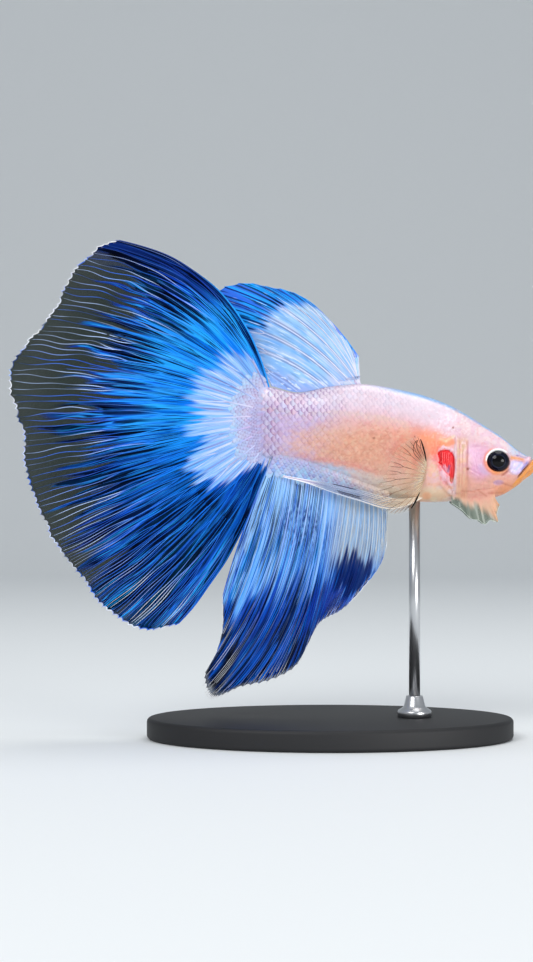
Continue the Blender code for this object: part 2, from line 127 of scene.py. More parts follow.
PECTORAL_MARGIN = (
    (12.35, 42.9), (11.0, 42.4), (8.8, 40.6), (7.8, 38.1),
    (6.1, 35.2), (6.0, 33.5), (8.2, 31.9), (11.1, 32.3),
)
PELVIC_STATIONS = (
    (13.0, 34.3, 1.5, 0.15),
    (11.6, 33.75, 2.0, 0.45),
    (9.2, 33.3, 2.5, 0.8),
    (4.0, 34.5, 2.3, 0.85),
    (-0.4, 35.7, 2.0, 0.62),
    (-2.9, 36.35, 1.75, 0.30),
    (-6.7, 37.2, 1.4, 0.12),
)
MEMBRANE_ROOT = ((17.0, 33.2), (20.3, 33.3), (23.7, 33.7))
MEMBRANE_HEM = (
    (17.1, 33.4), (18.7, 32.3), (20.1, 31.1), (20.8, 31.0), (21.9, 30.4),
    (22.6, 31.0), (23.6, 30.7), (23.5, 31.8), (23.9, 33.1),
)
TAIL_RAYS, TAIL_TIPS = 20, 80
BACK_RAYS = 10
LOWER_RAYS, LOWER_TIPS = 27, 54
# Shade of the scales where they run on to the lower fin
ROOT_SHADE = np.array([0.80, 0.90, 0.96])
SCALE_POINTS = 5  # along each side of a scale's grid
SCALE_THICKNESS = 0.014
MAP_PATCH = 0.003  # width of a scale on its map
BASE_SIZE = (52.0, 34.0, 3.0)
ROD_X = 12.0
ROD_RADIUS = 0.8
CAMERA_PLACE = (-9.02, -300.0, 36.5)
VIEW_WIDTH = 136.6  # what the camera sees across, at the fish
SENSOR_WIDTH = 36.0


# ---------------------------------------------------------------- curves, noise and colour


def linear(code):
    """An sRGB hex colour as linear red, green and blue."""
    share = np.array([int(code[i : i + 2], 16) / 255 for i in (1, 3, 5)])
    return np.where(share <= 0.04045, share / 12.92, ((share + 0.055) / 1.055) ** 2.4)


def smooth(x, knots, values):
    """A smooth curve through (knots, values): cubic Hermite with slopes from the neighbours."""
    knots = np.asarray(knots, float)
    values = np.asarray(values, float)
    slopes = np.gradient(values, knots)
    i = np.clip(np.searchsorted(knots, x) - 1, 0, len(knots) - 2)
    gap = knots[i + 1] - knots[i]
    t = (x - knots[i]) / gap
    rise = (3 - 2 * t) * t * t
    curve = (1 - t) * (1 - t) * t * slopes[i] - (1 - t) * t * t * slopes[i + 1]
    return values[i] * (1 - rise) + values[i + 1] * rise + gap * curve


def along(points, share):
    """The point at each share, 0 to 1, of the length of a smooth line through the points."""
    points = np.asarray(points, float)
    steps = np.linalg.norm(np.diff(points, axis=0), axis=1)
    knots = np.concatenate([[0.0], np.cumsum(steps)]) / steps.sum()
    return np.stack([smooth(share, knots, column) for column in points.T], axis=-1)


def bump(x, centre, width):
    """A smooth hill, 1 at the centre and near 0 two widths away."""
    return np.exp(-(((x - centre) / width) ** 2))


def ease(x, start, end):
    """0 before start, 1 after end and smooth between; the other way round if end is less."""
    t = np.clip((x - start) / (end - start), 0.0, 1.0)
    return t * t * (3 - 2 * t)


def span(x, *limits):
    """1 inside a stretch: eased in between the first two limits and out between the last two."""
    return ease(x, *limits[:2]) * ease(x, *limits[2:])


def hashed(i, j, seed):
    """A number from 0 to 1 for each whole-number pair, scattered with no pattern."""
    value = np.sin(i * 127.1 + j * 311.7 + seed * 74.7) * 43758.5453
    return value - np.floor(value)


def noise(x, y, seed=0.0):
    """Smooth noise from 0 to 1 with cells one unit wide: eased mixing of the corners' numbers."""
    x, y = np.broadcast_arrays(x, y)
    i, j = np.floor(x), np.floor(y)
    u, v = x - i, y - j
    u, v = u * u * (3 - 2 * u), v * v * (3 - 2 * v)
    low = hashed(i, j, seed) * (1 - u) + hashed(i + 1, j, seed) * u
    high = hashed(i, j + 1, seed) * (1 - u) + hashed(i + 1, j + 1, seed) * u
    return low * (1 - v) + high * v


def noise_at(x, y, across, along, seed, *limits):
    """Noise with so many cells to one unit across and along. With two limits, it is eased between them."""
    cells = noise(x * across, y * along, seed)
    return ease(cells, *limits) if limits else cells


def mixed(base, colour, share):
    """Base turned towards a colour by each point's share."""
    return base + (colour - base) * np.asarray(share)[..., None]


def mix_number(low, high, share):
    """A number between two others by each point's share."""
    return low + (high - low) * np.asarray(share)


def stack(*columns):
    """Arrays side by side along a new last axis."""
    return np.stack(columns, axis=-1)


def packed(tint, alpha=1.0, threads=()):
    """Each point's colour, opacity and threads side by side."""
    extra = (np.broadcast_to(each, tint.shape[:-1]) for each in (alpha, *threads))
    return np.concatenate([tint, stack(*extra)], axis=-1)


class Paint:
    """Linear colour at each point of a surface, changed by one wash after the other."""

    def __init__(self, shape, colours, first):
        self.colours = colours
        self.tint = np.zeros((*shape, 3)) + self.value(first)

    def value(self, colour):
        """A colour given by its name in the palette, by its hex code or by its value."""
        if not isinstance(colour, str):
            return colour
        return linear(colour) if colour.startswith("#") else self.colours[colour]

    def wash(self, colour, share):
        """Turn every point towards a colour by the point's share."""
        self.tint = mixed(self.tint, self.value(colour), share)


def unit(vectors):
    """Vectors along the last axis, all of length 1."""
    return vectors / np.maximum(np.linalg.norm(vectors, axis=-1, keepdims=True), 1e-12)


def near_line(x, z, start, end):
    """Distance from the line between two points, and the share of its length, for each (x, z)."""
    step = np.subtract(end, start)
    share = ((x - start[0]) * step[0] + (z - start[1]) * step[1]) / (step @ step)
    held = np.clip(share, 0.0, 1.0)
    return np.hypot(x - start[0] - held * step[0], z - start[1] - held * step[1]), share


def oval(x, z, centre, radii, tilt=0.0):
    """Distance from an oval's centre, 1 on its edge. Tilt turns it, in degrees."""
    c, s = math.cos(math.radians(tilt)), math.sin(math.radians(tilt))
    dx, dz = x - centre[0], z - centre[1]
    return np.hypot((dx * c + dz * s) / radii[0], (dz * c - dx * s) / radii[1])


# ---------------------------------------------------------------- meshes


def grid_faces(columns, rows, start=0):
    """Quads between neighbouring columns and rows of points that are stored column by column."""
    here = start + np.arange(columns - 1)[:, None] * rows + np.arange(rows - 1)[None, :]
    return stack(here, here + 1, here + rows + 1, here + rows).reshape(-1, 4)


def ring_faces(rings, around, start=0):
    """Quads between closed rings of points that are stored ring by ring."""
    seam = start + np.arange(rings - 1) * around
    closing = stack(seam, seam + around - 1, seam + 2 * around - 1, seam + around)
    return np.concatenate([grid_faces(rings, around, start), closing]).tolist()


def ball_faces(rings, around):
    """Quads between closed rings, and triangles to the one point before them and the one after."""
    k = np.arange(around)
    ahead = (k + 1) % around
    last = 1 + (rings - 1) * around
    ends = [stack(0 * k, 1 + k, 1 + ahead), stack(0 * k + last + around, last + k, last + ahead)]
    return ring_faces(rings, around, 1) + np.concatenate(ends).tolist()


def sheet_faces(columns, rows):
    """Quads of a closed sheet: a grid on each side, and the rim that joins their edges."""
    count = columns * rows
    number = np.arange(count).reshape(columns, rows)
    loop = np.concatenate([number[:-1, 0], number[-1, :-1], number[:0:-1, -1], number[0, :0:-1]])
    following = np.roll(loop, -1)
    rim = stack(loop, following, following + count, loop + count)
    front = grid_faces(columns, rows)
    return np.concatenate([front, front + count, rim])


def new_piece(name, points, faces, material, slot, nodes=(), tint=None, uv=None, uv_name="Rays", crisp=False):
    """One visible piece: points in millimetres, faces as lists, and a tint and a map place per point.
    A tint of eight numbers also holds the threads: share of dark ones, share of light ones, depth. A
    crisp piece keeps its sharp edges instead of shading across them."""
    mesh = bpy.data.meshes.new(name)
    mesh.from_pydata((points * MM).tolist(), [], faces)
    form = bmesh.new()
    form.from_mesh(mesh)
    bmesh.ops.recalc_face_normals(form, faces=form.faces)
    form.to_mesh(mesh)
    form.free()
    for attribute, first in (("tint", 0), ("threads", 4)):
        if tint is not None and tint.shape[-1] > first:
            layer = mesh.color_attributes.new(attribute, "FLOAT_COLOR", "POINT")
            layer.data.foreach_set("color", tint[:, first : first + 4].astype(np.float32).ravel())
    if uv is not None:
        corners = np.empty(len(mesh.loops), dtype=np.int32)
        mesh.loops.foreach_get("vertex_index", corners)
        layer = mesh.uv_layers.new(name=uv_name)
        layer.data.foreach_set("uv", np.asarray(uv, dtype=np.float32)[corners].ravel())
    mesh.shade_smooth()
    if crisp:
        mesh.set_sharp_from_angle(angle=math.radians(50))
    mesh.materials.append(material)
    piece = bpy.data.objects.new(name, mesh)
    bpy.context.scene.collection.objects.link(piece)
    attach(piece, "root")
    if nodes:
        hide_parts(*nodes)
    return piece


def leaf(grid, thickness):
    """A thin closed sheet: the grid moved out to both sides along its normal, and a rim round it."""
    across, lengthwise = np.gradient(grid, axis=0), np.gradient(grid, axis=1)
    half = unit(np.cross(across, lengthwise)) * np.asarray(thickness)[..., None] / 2
    points = np.concatenate([(grid + half).reshape(-1, 3), (grid - half).reshape(-1, 3)])
    return points, sheet_faces(*grid.shape[:2]).tolist()


def tubes(point, a, t, radius, sides=6):
    """Closed tubes on a fin: each row of a and t is a path, with a ring of points round each step."""
    centre = point(a, t)
    small = 1e-3
    across = point(a + small, t) - point(a - small, t)
    lengthwise = point(a, t + small) - point(a, t - small)
    normal = unit(np.cross(across, lengthwise))
    beside = unit(np.cross(normal, unit(np.gradient(centre, axis=1))))
    turn = (np.arange(sides) * TURN / sides)[:, None]
    ring = np.cos(turn) * beside[..., None, :] + np.sin(turn) * normal[..., None, :]
    points = centre[..., None, :] + radius[..., None, None] * ring
    number = np.arange(a.size * sides).reshape(*a.shape, sides)
    here, there = number[:, :-1], number[:, 1:]
    walls = stack(here, there, np.roll(there, -1, 2), np.roll(here, -1, 2)).reshape(-1, 4)
    ends = np.concatenate([number[:, 0], number[:, -1]])
    return points.reshape(-1, 3), walls.tolist() + ends.tolist()


def join(*parts):
    """Points, faces and marks of several parts as one."""
    faces, start = [], 0
    for points, part_faces, _ in parts:
        faces += [[corner + start for corner in face] for face in part_faces]
        start += len(points)
    return np.concatenate([part[0] for part in parts]), faces, np.concatenate([part[2] for part in parts])


def branches(count, splits, reach, root_radius, tip_radius, steps, root=-0.03):
    """Paths of rays that fork. A ray keeps to its share of the fin and forks at each split, where its
    two halves drift apart. Returns the shares across and along the fin and the radii, level by level."""
    starts = (np.arange(count) + 0.5) / count
    begin = np.full(count, root)
    levels, forks = [], []
    share = np.linspace(0.0, 1.0, steps)[None, :]
    for level in range(len(splits) + 1):
        forking = level < len(splits)
        jitter = (hashed(np.arange(len(begin)), level, 5.0) - 0.5) * 0.09
        finish = splits[level] + jitter if forking else np.full(len(begin), reach)
        t = begin[:, None] + (finish + 0.012 * forking - begin)[:, None] * share
        a = starts[:, None] + 0 * t
        for split, drift in forks:
            a = a + drift[:, None] * (1 - np.exp(-np.clip(t - split[:, None], 0.0, None) / 0.09))
        thick = root_radius + (tip_radius - root_radius) * np.clip(t / reach, 0, 1) ** 0.7
        levels.append((a, t, thick if forking else thick * (1 - 0.6 * share**6)))
        if forking:
            side = np.tile([-1.0, 1.0], len(begin))
            starts, begin = np.repeat(starts, 2), np.repeat(finish, 2)
            forks = [tuple(np.repeat(column, 2) for column in fork) for fork in forks]
            forks.append((begin, side * 0.5 / count / 2 ** (level + 1)))
    return levels


# ---------------------------------------------------------------- shape of the body


def body_section(x):
    """Middle height, half height and half width of the body at x, with both ends rounded."""
    stations = np.asarray(BODY_STATIONS)
    reach = np.clip(x, stations[0, 0], stations[-1, 0])
    back, belly, half = (smooth(reach, stations[:, 0], stations[:, i]) for i in (1, 2, 3))
    front = np.clip((x - stations[-1, 0] + SNOUT_ROUNDING) / SNOUT_ROUNDING, 0.0, 1.0)
    rear = np.clip((stations[0, 0] + TAIL_ROUNDING - x) / TAIL_ROUNDING, 0.0, 1.0)
    rounding = np.sqrt((1 - front**2) * (1 - rear**2))
    half = half * (1 - 0.8 * ease(x, -7.0, -11.9))
    return (back + belly) / 2, (back - belly) / 2 * rounding, half * rounding


def body_side(x, z):
    """How far out the body's side is at a place in the side view."""
    middle, height, half = body_section(x)
    level = np.clip(np.abs((z - middle) / np.maximum(height, 0.1)), 0.0, 1.0) ** (2 / SECTION_POWER)
    return half * (1 - level) ** (SECTION_POWER / 2)


def body_point(x, turn):
    """The body's surface: a slightly squared oval at x, with turn 0 on the back and pi on the belly."""
    middle, height, half = body_section(x)
    across = np.sign(np.sin(turn)) * np.abs(np.sin(turn)) ** SECTION_POWER
    up = np.sign(np.cos(turn)) * np.abs(np.cos(turn)) ** SECTION_POWER
    return np.stack([x + 0 * turn, half * across, middle + height * up], axis=-1)


def mouth_frame(x, z):
    """Distance in front of the plane that the mouth opens on, and distance up it from the corner."""
    step = np.subtract(MOUTH_FRONT, MOUTH_CORNER)
    step = step / np.hypot(*step)
    dx, dz = x - MOUTH_CORNER[0], z - MOUTH_CORNER[1]
    return dx * step[1] - dz * step[0], dx * step[0] + dz * step[1]


def eye_distance(x, z):
    """Distance from the eye's centre in the side view, 1 on the eye's outline."""
    return oval(x, z, EYE_CENTRE[::2], EYE_RADII[::2])


def relief(x, z, y):
    """How far the skin stands out from the body's plain form: lips, mouth, nostril, orbit, cheek,
    gill cover and its opening are each a hill or a groove across the side view."""

    def lines(height, width, *ends):
        """Low folds, or grooves where the height is negative, between pairs of places."""
        return height * sum(bump(near_line(x, z, *pair)[0], 0, width) for pair in ends)

    ahead, up = mouth_frame(x, z)
    mouth = ease(up, -0.25, 0.35)
    side = ease(np.abs(y), 0.9, 1.7)
    out = -0.34 * bump(ahead, 0.0, 0.10) * mouth
    out += 0.13 * bump(ahead, -0.36, 0.22) * mouth * ease(up, 1.2, 2.2)
    out += 0.17 * bump(ahead, 0.40, 0.26) * mouth
    out -= 0.10 * bump(ahead, 0.95, 0.2) * ease(up, -0.6, 0.4)
    # upper jaw plate, a low step from the nostril down to the corner of the mouth
    out += 0.10 * ease(oval(x, z, (26.2, 38.55), (1.0, 1.2), -35), 1.12, 0.88)
    out += lines(-0.14, 0.12, ((25.3, 39.55), (27.4, 39.25)))
    nostril = oval(x, z, (26.45, 40.1), (0.24, 0.17), -30)
    out += 0.10 * bump(nostril, 1.1, 0.5) - 0.22 * bump(nostril, 0, 0.6)
    out -= 0.14 * bump(oval(x, z, (25.35, 40.5), (0.2, 0.12), -20), 0, 0.8)
    # orbit: a rim round the eye and the socket inside it
    eye = eye_distance(x, z)
    out += side * (0.17 * bump(eye, 1.13, 0.12) - 0.9 * ease(eye, 1.04, 0.85))
    # the crease under the eye, cheek creases and the groove before the gill cover
    out += side * lines(-0.11, 0.11, ((24.3, 37.35), (25.5, 38.35)))
    out += side * lines(-0.05, 0.12, ((19.4, 38.2), (20.9, 37.4)))
    out += side * lines(-0.06, 0.2, ((21.6, 36.4), (24.6, 35.9)))
    out += side * lines(-0.09, 0.14, ((19.15, 42.2), (18.95, 38.4)), ((18.95, 38.4), (19.5, 34.8)))
    out += side * lines(-0.045, 0.1, ((18.4, 41.6), (18.3, 36.0)))
    # gill cover: it stands proud and ends in a sharp rear edge over the red gill
    height = span(z, 33.9, 35.0, 43.4, 42.3)
    edge = OPERCLE_X - 0.16 * (1 - ((z - 38.6) / 4.2) ** 2)
    out += 0.24 * ease(x, edge - 0.07, edge + 0.05) * ease(x, 21.0, 18.2) * height
    out -= 0.45 * gill_opening(x, z) * side * (0.3 + 0.7 * ease(z, 37.4, 38.6))
    # folds of skin over the gill opening and behind its foot
    out += side * lines(0.12, 0.16, ((15.25, 40.8), (15.85, 41.3)), ((15.85, 41.3), (16.95, 40.9)))
    out += side * lines(0.08, 0.16, ((15.4, 42.4), (16.1, 42.1)), ((16.1, 42.1), (17.3, 42.8)))
    out += side * lines(0.07, 0.16, ((15.6, 37.6), (16.5, 36.2)), ((15.5, 36.4), (17.0, 34.6)))
    out += side * lines(0.06, 0.16, ((15.4, 36.0), (16.4, 34.9)))
    crease = 1 - np.abs(2 * noise(x * 1.1 + 3, z * 1.6, 82.0) - 1)
    out -= 0.035 * ease(crease, 0.90, 1.0) * side * ease(x, 14.5, 15.5)
    out += 0.03 * (noise(x * 3.2, z * 3.2 + np.sign(y) * OTHER_SIDE, 83.0) - 0.5) * ease(x, 15.0, 17.0)
    out += 0.05 * (noise(x * 6.0, z * 0.7, 84.0) - 0.5) * span(x, 17.7, 17.9, 19.4, 19.0) * side
    # pectoral root: the muscle that carries the fin
    return out + 0.28 * bump(oval(x, z, (13.7, 37.0), (0.9, 2.1), 5), 0, 0.9) * side


def gill_edges(z):
    """The uneven rear edge and the front edge of the gill opening at each height."""
    held = np.clip(z, 35.9, 40.9)
    wobble = 0.4 * (noise(z * 3.1, 0 * z, 81.0) - 0.5)
    return smooth(held, GILL_HEIGHTS, GILL_REAR) + wobble, smooth(held, GILL_HEIGHTS, GILL_FRONT)


def gill_opening(x, z):
    """1 inside the gill opening, which is round at its top and narrows towards its foot."""
    rear, front = gill_edges(z)
    inside = ease(x, rear - 0.12, rear + 0.14) * ease(x, front + 0.1, front - 0.06)
    return inside * span(z, 35.9, 36.4, 41.0, 40.75)


def scale_cover(x, share):
    """1 where scales lie and 0 on the bare head. Share runs from the back, 0, to the belly, 1."""
    front = smooth(share, (0.0, 0.2, 0.35, 0.5, 0.7, 1.0), (19.5, 17.5, 14.0, 11.6, 10.6, 12.0))
    return ease(x, front + 0.2, front - 0.6)


def side_table(columns=240, rows=91):
    """For evenly spaced x, the turn at each share of the way along the skin from back to belly."""
    x = np.linspace(-11.95, 25.0, columns)
    turn = np.linspace(0.0, math.pi, 361)
    points = body_point(x[:, None], turn[None, :])
    steps = np.linalg.norm(np.diff(points, axis=1), axis=-1)
    reach = np.concatenate([np.zeros((columns, 1)), np.cumsum(steps, axis=1)], axis=1)
    share = np.linspace(0.0, 1.0, rows)
    table = np.stack([np.interp(share * line[-1], line, turn) for line in reach])
    return x, table, reach[:, -1]


def side_turn(x, share, table):
    """The turn at a share of the way from back to belly, read between the table's lines. A share below
    0 or above 1 goes on over the ridge to the other side."""
    places, turns, _ = table
    over = np.clip(-share, 0.0, None) + np.clip(share - 1, 0.0, None)
    inner = np.where(share < 0, -share, np.where(share > 1, 2 - share, share))
    i = np.clip((x - places[0]) / (places[1] - places[0]), 0, len(places) - 1.001)
    j = np.clip(inner * (turns.shape[1] - 1), 0, turns.shape[1] - 1.001)
    i0, j0 = i.astype(int), j.astype(int)
    u, v = i - i0, j - j0
    low = turns[i0, j0] * (1 - v) + turns[i0, j0 + 1] * v
    high = turns[i0 + 1, j0] * (1 - v) + turns[i0 + 1, j0 + 1] * v
    turn = low * (1 - u) + high * u
    return np.where(over > 0, np.where(share < 0, -turn, TURN - turn), turn)


# ---------------------------------------------------------------- markings of the body


def body_tint(points, colours):
    """The markings that skin and scales share, as linear colour at each point of the body."""
    x, y, z = points[..., 0], points[..., 1], points[..., 2]
    middle, height, _ = body_section(x)
    up = (z - middle) / np.maximum(height, 0.5)
    side = ease(np.abs(y), 0.5, 1.4)
    other = np.sign(y) * OTHER_SIDE
    grain = noise(x * 2.2, z * 2.2 + other, 1.0)
    fine = noise(x * 5.0, z * 5.0 + other, 2.0)
    coarse, crisp = grain - 0.5, fine - 0.5
    cells = partial(noise_at, x, z)
    cloud = cells(0.45, 0.6, 3.0)
    paint = Paint(x.shape, colours, "pink")
    wash = paint.wash

    def patch(colour, share, place, start, end, uneven=0.0):
        """An oval patch with an uneven edge. Place is its centre, its radii and its tilt."""
        wash(colour, share * ease(oval(x, z, *place) + uneven, start, end))

    def folds(colour, share, width, *lines):
        """Soft lines between pairs of places."""
        for line in lines:
            wash(colour, share * bump(near_line(x, z, *line)[0], 0, width))

    # flank: peach in the middle, clearest above the anal fin
    flank = ease(up, 0.5 + 0.25 * (cloud - 0.5), -0.15)
    wash("peach", 0.85 * flank * span(x, -8.5, -4.0, 17.5, 12.0))
    patch("flank", 0.75, ((5.5, 40.8), (11.5, 3.9), 4), 1.15, 0.35, 0.25 * (cloud - 0.5))
    patch("rose", 0.24, ((9.8, 40.6), (2.8, 3.0)), 1.2, 0.4, 0.4 * coarse)
    patch("orange", 0.30, ((8.2, 44.4), (6.5, 2.1), -6), 1.3, 0.3, 0.4 * coarse)
    ruddy = colours["orange"] * np.array([0.95, 0.7, 0.6])
    patch(ruddy, 0.38, ((11.4, 41.2), (2.6, 3.2)), 1.3, 0.4, 0.4 * crisp)
    patch("orange", 0.55 * (0.6 + 0.8 * grain), ((14.6, 42.4), (3.2, 1.6), -20), 1.3, 0.3)
    # tail stem: lavender, with a greyer lower edge
    wedge = oval(x, z, (2.6, 42.0), (11.9, 2.9), 3) + 0.5 * coarse
    stem = ease(x, 2.0 + 3.0 * up, -5.0) * (1 - 0.9 * ease(wedge, 1.1, 0.6) * ease(x, -8.2, -5.5))
    wash("lavender", 0.85 * stem * ease(up, 1.25, 0.4))
    wash("lilac", 0.55 * stem * ease(grain, 0.45, 0.75))
    wash("steel", 0.35 * stem * ease(up, -0.2, -0.9) * ease(x, 6.0, -2.0))
    border = smooth(
        np.clip(x, -12, 13),
        (-12, -6, -3, 0, 3, 5, 7, 9, 11, 13),
        (40.3, 40.0, 39.4, 39.0, 38.4, 37.8, 37.1, 35.8, 34.7, 33.0),
    )
    low = ease(z + 0.7 * crisp, border + 0.3, border - 0.5)
    root = Paint(x.shape, colours, "haze")
    root.wash("sky", 0.65 * ease(fine, 0.4, 0.7) * ease(x, 1.0, -4.0))
    root.wash("lavender", 0.55 * ease(grain, 0.4, 0.7))
    root.tint *= mix_number(np.ones(3), ROOT_SHADE, ease(x, 1.0, -3.0)[..., None])
    root.wash("ivory", 0.75 * ease(x + 2 * coarse, 1.0, 6.0))
    root.wash("peach", 0.35 * ease(x + 2 * coarse, 1.0, 4.0))
    # painted light: up to 12% brighter at the very underside, against the shade where the body curves under
    wash(root.tint * (1 + 0.12 * ease(up, -0.8, -1.0))[..., None], 0.8 * low)
    wash("rose", 0.35 * bump(z - border, 0.35, 0.45) * span(x, 8.0, 4.0, -7.0, -4.0))
    # where the skin meets the tail fin, the fin's pleat stripes go on: the pale ones painted highlight, the
    # dark ones painted shade
    angle = np.arctan2(z - CAUDAL_CENTRE[1], CAUDAL_CENTRE[0] + 4.0 - x)
    pleat = np.cos(angle * 26 + 2.0 * coarse)
    tail = ease(x + 1.6 * crisp, -8.8, -10.8)
    wash(mixed(colours["core"], colours["frost"], 0.6 * ease(pleat, -0.2, 0.8)), 0.45 * tail)
    wash("dusk", 0.35 * tail * ease(pleat, -0.7, -1.0))
    # painted shade in the fold at the back fin's rear end
    patch("dusk", 0.40, ((-8.6, 48.3), (1.0, 1.1)), 1.2, 0.4, 0.5 * crisp)
    # back: near white; the light blue on the very ridge is a painted reflection
    wash("white", ease(up, 0.25, 0.8) * (0.85 - 0.35 * grain) * ease(x, 29.5, 26.5))
    wash("ridge", 0.85 * ease(up, 0.885, 0.96) * ease(x, 3.5, 12.0))
    # belly before the anal fin and throat: cream to peach
    wash("cream", 0.75 * ease(up, -0.55, -0.95) * span(x, 5.0, 9.0, 19.0, 16.0))
    low_side = ease(up, -0.35, -0.75) * span(x, 9.0, 12.0, 18.5, 17.0)
    wash("peach", 0.75 * low_side * cells(1.3, 1.8, 89.0, 0.45, 0.7))
    wash("rust", 0.18 * low_side * ease(fine, 0.6, 0.8))
    # head
    head = ease(x, 17.0, 18.4)
    wash("peach", 0.75 * head * ease(z, 40.5 - 0.2 * (x - 20), 36.5) * side)
    band = span(x, 17.6, 17.8, 19.5, 18.9) * span(z, 43.0, 41.5, 33.4, 34.6)
    lines = cells(7.0, 0.6, 85.0)
    wash("peach", 0.75 * band * side)
    wash("cream", (0.10 + 0.45 * ease(z, 38.5, 41.5) + 0.3 * ease(lines, 0.4, 0.7)) * band * side)
    wash("rust", 0.16 * band * ease(lines, 0.4, 0.2) * side)
    # painted highlight: a thin bright line along the gill cover's rear edge
    wash("bright", 0.5 * bump(x, OPERCLE_X - 0.08, 0.09) * span(z, 42.6, 42.0, 34.6, 35.4) * side)
    soft = noise(x * 1.6 + 5, z * 1.6 + other, 86.0)
    wash("cheek", 0.30 * head * ease(soft, 0.5, 0.75) * ease(z, 36.5, 39.0))
    wash("bright", 0.28 * span(x, 10.0, 17.0, 21.0, 18.0) * ease(fine, 0.55, 0.85) * ease(up, -0.2, 0.5))
    wash("rose", 0.20 * ease(x, 12.0, 17.0) * cells(4.0, 4.0, 87.0, 0.66, 0.85))
    patch("cheek", 0.85 * (0.75 + 0.4 * grain) * side, ((21.2, 38.9), (2.1, 2.6), -20), 1.25, 0.4)
    patch("cheek", 0.6 * side, ((20.2, 40.9), (1.6, 1.2)), 1.2, 0.3)
    patch("lavender", 0.7 * side, ((21.7, 38.2), (1.3, 0.9), -30), 1.1, 0.5)
    patch("lilac", 0.75 * side, ((23.7, 36.25), (0.85, 0.45)), 1.15, 0.6)
    wash("chin", 0.8 * ease(z, 37.3, 34.6) * ease(x, 22.0, 25.0))
    # the head's skin is rosier and darker than the trunk's; the bluer top of the snout is a painted
    # reflection
    crown = ease(up, 0.25, 0.75)[..., None]
    shade = mix_number(np.array([0.90, 0.80, 0.76]), np.array([0.97, 0.93, 0.86]), crown)
    snout = ease(x, 24.6, 26.0) * ease(z, 39.6, 40.4)
    paint.tint *= mix_number(1.0, shade, ease(x, 16.5, 18.5)[..., None])
    paint.tint *= mix_number(1.0, np.array([0.72, 0.98, 1.12]), snout[..., None])
    # round the eye: orange below and behind, white above
    eye = eye_distance(x, z)
    bearing = np.degrees(np.arctan2(z - EYE_CENTRE[2], x - EYE_CENTRE[0]))
    for colour, share, outer, inner, middle, far, near in (
        ("orange", 0.80, 1.52, 1.14, -165.0, 110.0, 50.0),
        ("chin", 0.55, 1.34, 1.12, -75.0, 80.0, 30.0),
        ("bright", 0.95, 1.22, 1.15, 112.0, 74.0, 58.0),
    ):
        off = np.abs((bearing - middle + 180.0) % 360.0 - 180.0)
        wash(colour, share * ease(eye, outer, inner) * ease(off, far, near) * side)
    # painted shade in the crease under the eye
    folds("rust", 0.7 * side, 0.2, ((24.2, 37.3), (25.6, 38.5)))
    # upper jaw plate, lips and lower jaw
    plate = ((26.2, 38.6), (1.0, 1.25), -35)
    ahead, rise = mouth_frame(x, z)
    patch(colours["frost"] * np.array([0.80, 0.76, 0.95]), 0.85 * side, plate, 1.25, 0.7)
    patch("lilac", 0.4 * noise_at(ahead, rise, 5.0, 1.2, 88.0, 0.5, 0.75) * side, plate, 1.0, 0.7)
    patch("lavender", 0.7, ((26.6, 37.9), (0.75, 0.5), 40), 1.1, 0.5)
    stripe, share = near_line(x, z, (25.3, 39.85), (27.4, 39.5))
    wash("chin", 0.85 * bump(stripe, 0, 0.27) * span(share, -0.1, 0.1, 1.1, 0.9))
    folds("dusk", 0.55, 0.12, ((26.3, 40.15), (27.9, 39.75)))
    wash("lip", 0.9 * bump(ahead, -0.42, 0.3) * ease(rise, 1.9, 2.6))
    wash("violet", 0.80 * bump(ahead, -0.30, 0.22) * span(rise, 0.7, 1.3, 2.9, 2.3))
    wash("sky", 0.35 * bump(ahead, -0.95, 0.16) * span(rise, 0.2, 0.7, 2.6, 1.8) * side)
    wash("jaw", 0.95 * ease(ahead, 0.0, 0.16) * ease(x, 25.2, 26.2))
    wash("chin", 0.7 * ease(ahead, 0.45, 0.95) * cells(4.0, 4.0, 7.0, 0.3, 0.7) * ease(x, 25.4, 26.4))
    wash("rust", 0.45 * bump(ahead, 0.68, 0.10) * ease(x, 25.6, 26.4) * ease(rise, 2.4, 1.4))
    folds("rust", 0.34 * side, 0.13, ((20.8, 35.2), (22.0, 34.4)), ((22.3, 34.8), (24.4, 34.8)))
    folds("rust", 0.34 * side, 0.13, ((18.4, 35.2), (20.3, 35.0)), ((24.3, 36.2), (26.0, 35.6)))
    # painted shade in the slit between the lips
    wash("cleft", 0.85 * bump(ahead, 0.02, 0.11) * span(rise, -0.35, 0.2, 3.4, 1.4))
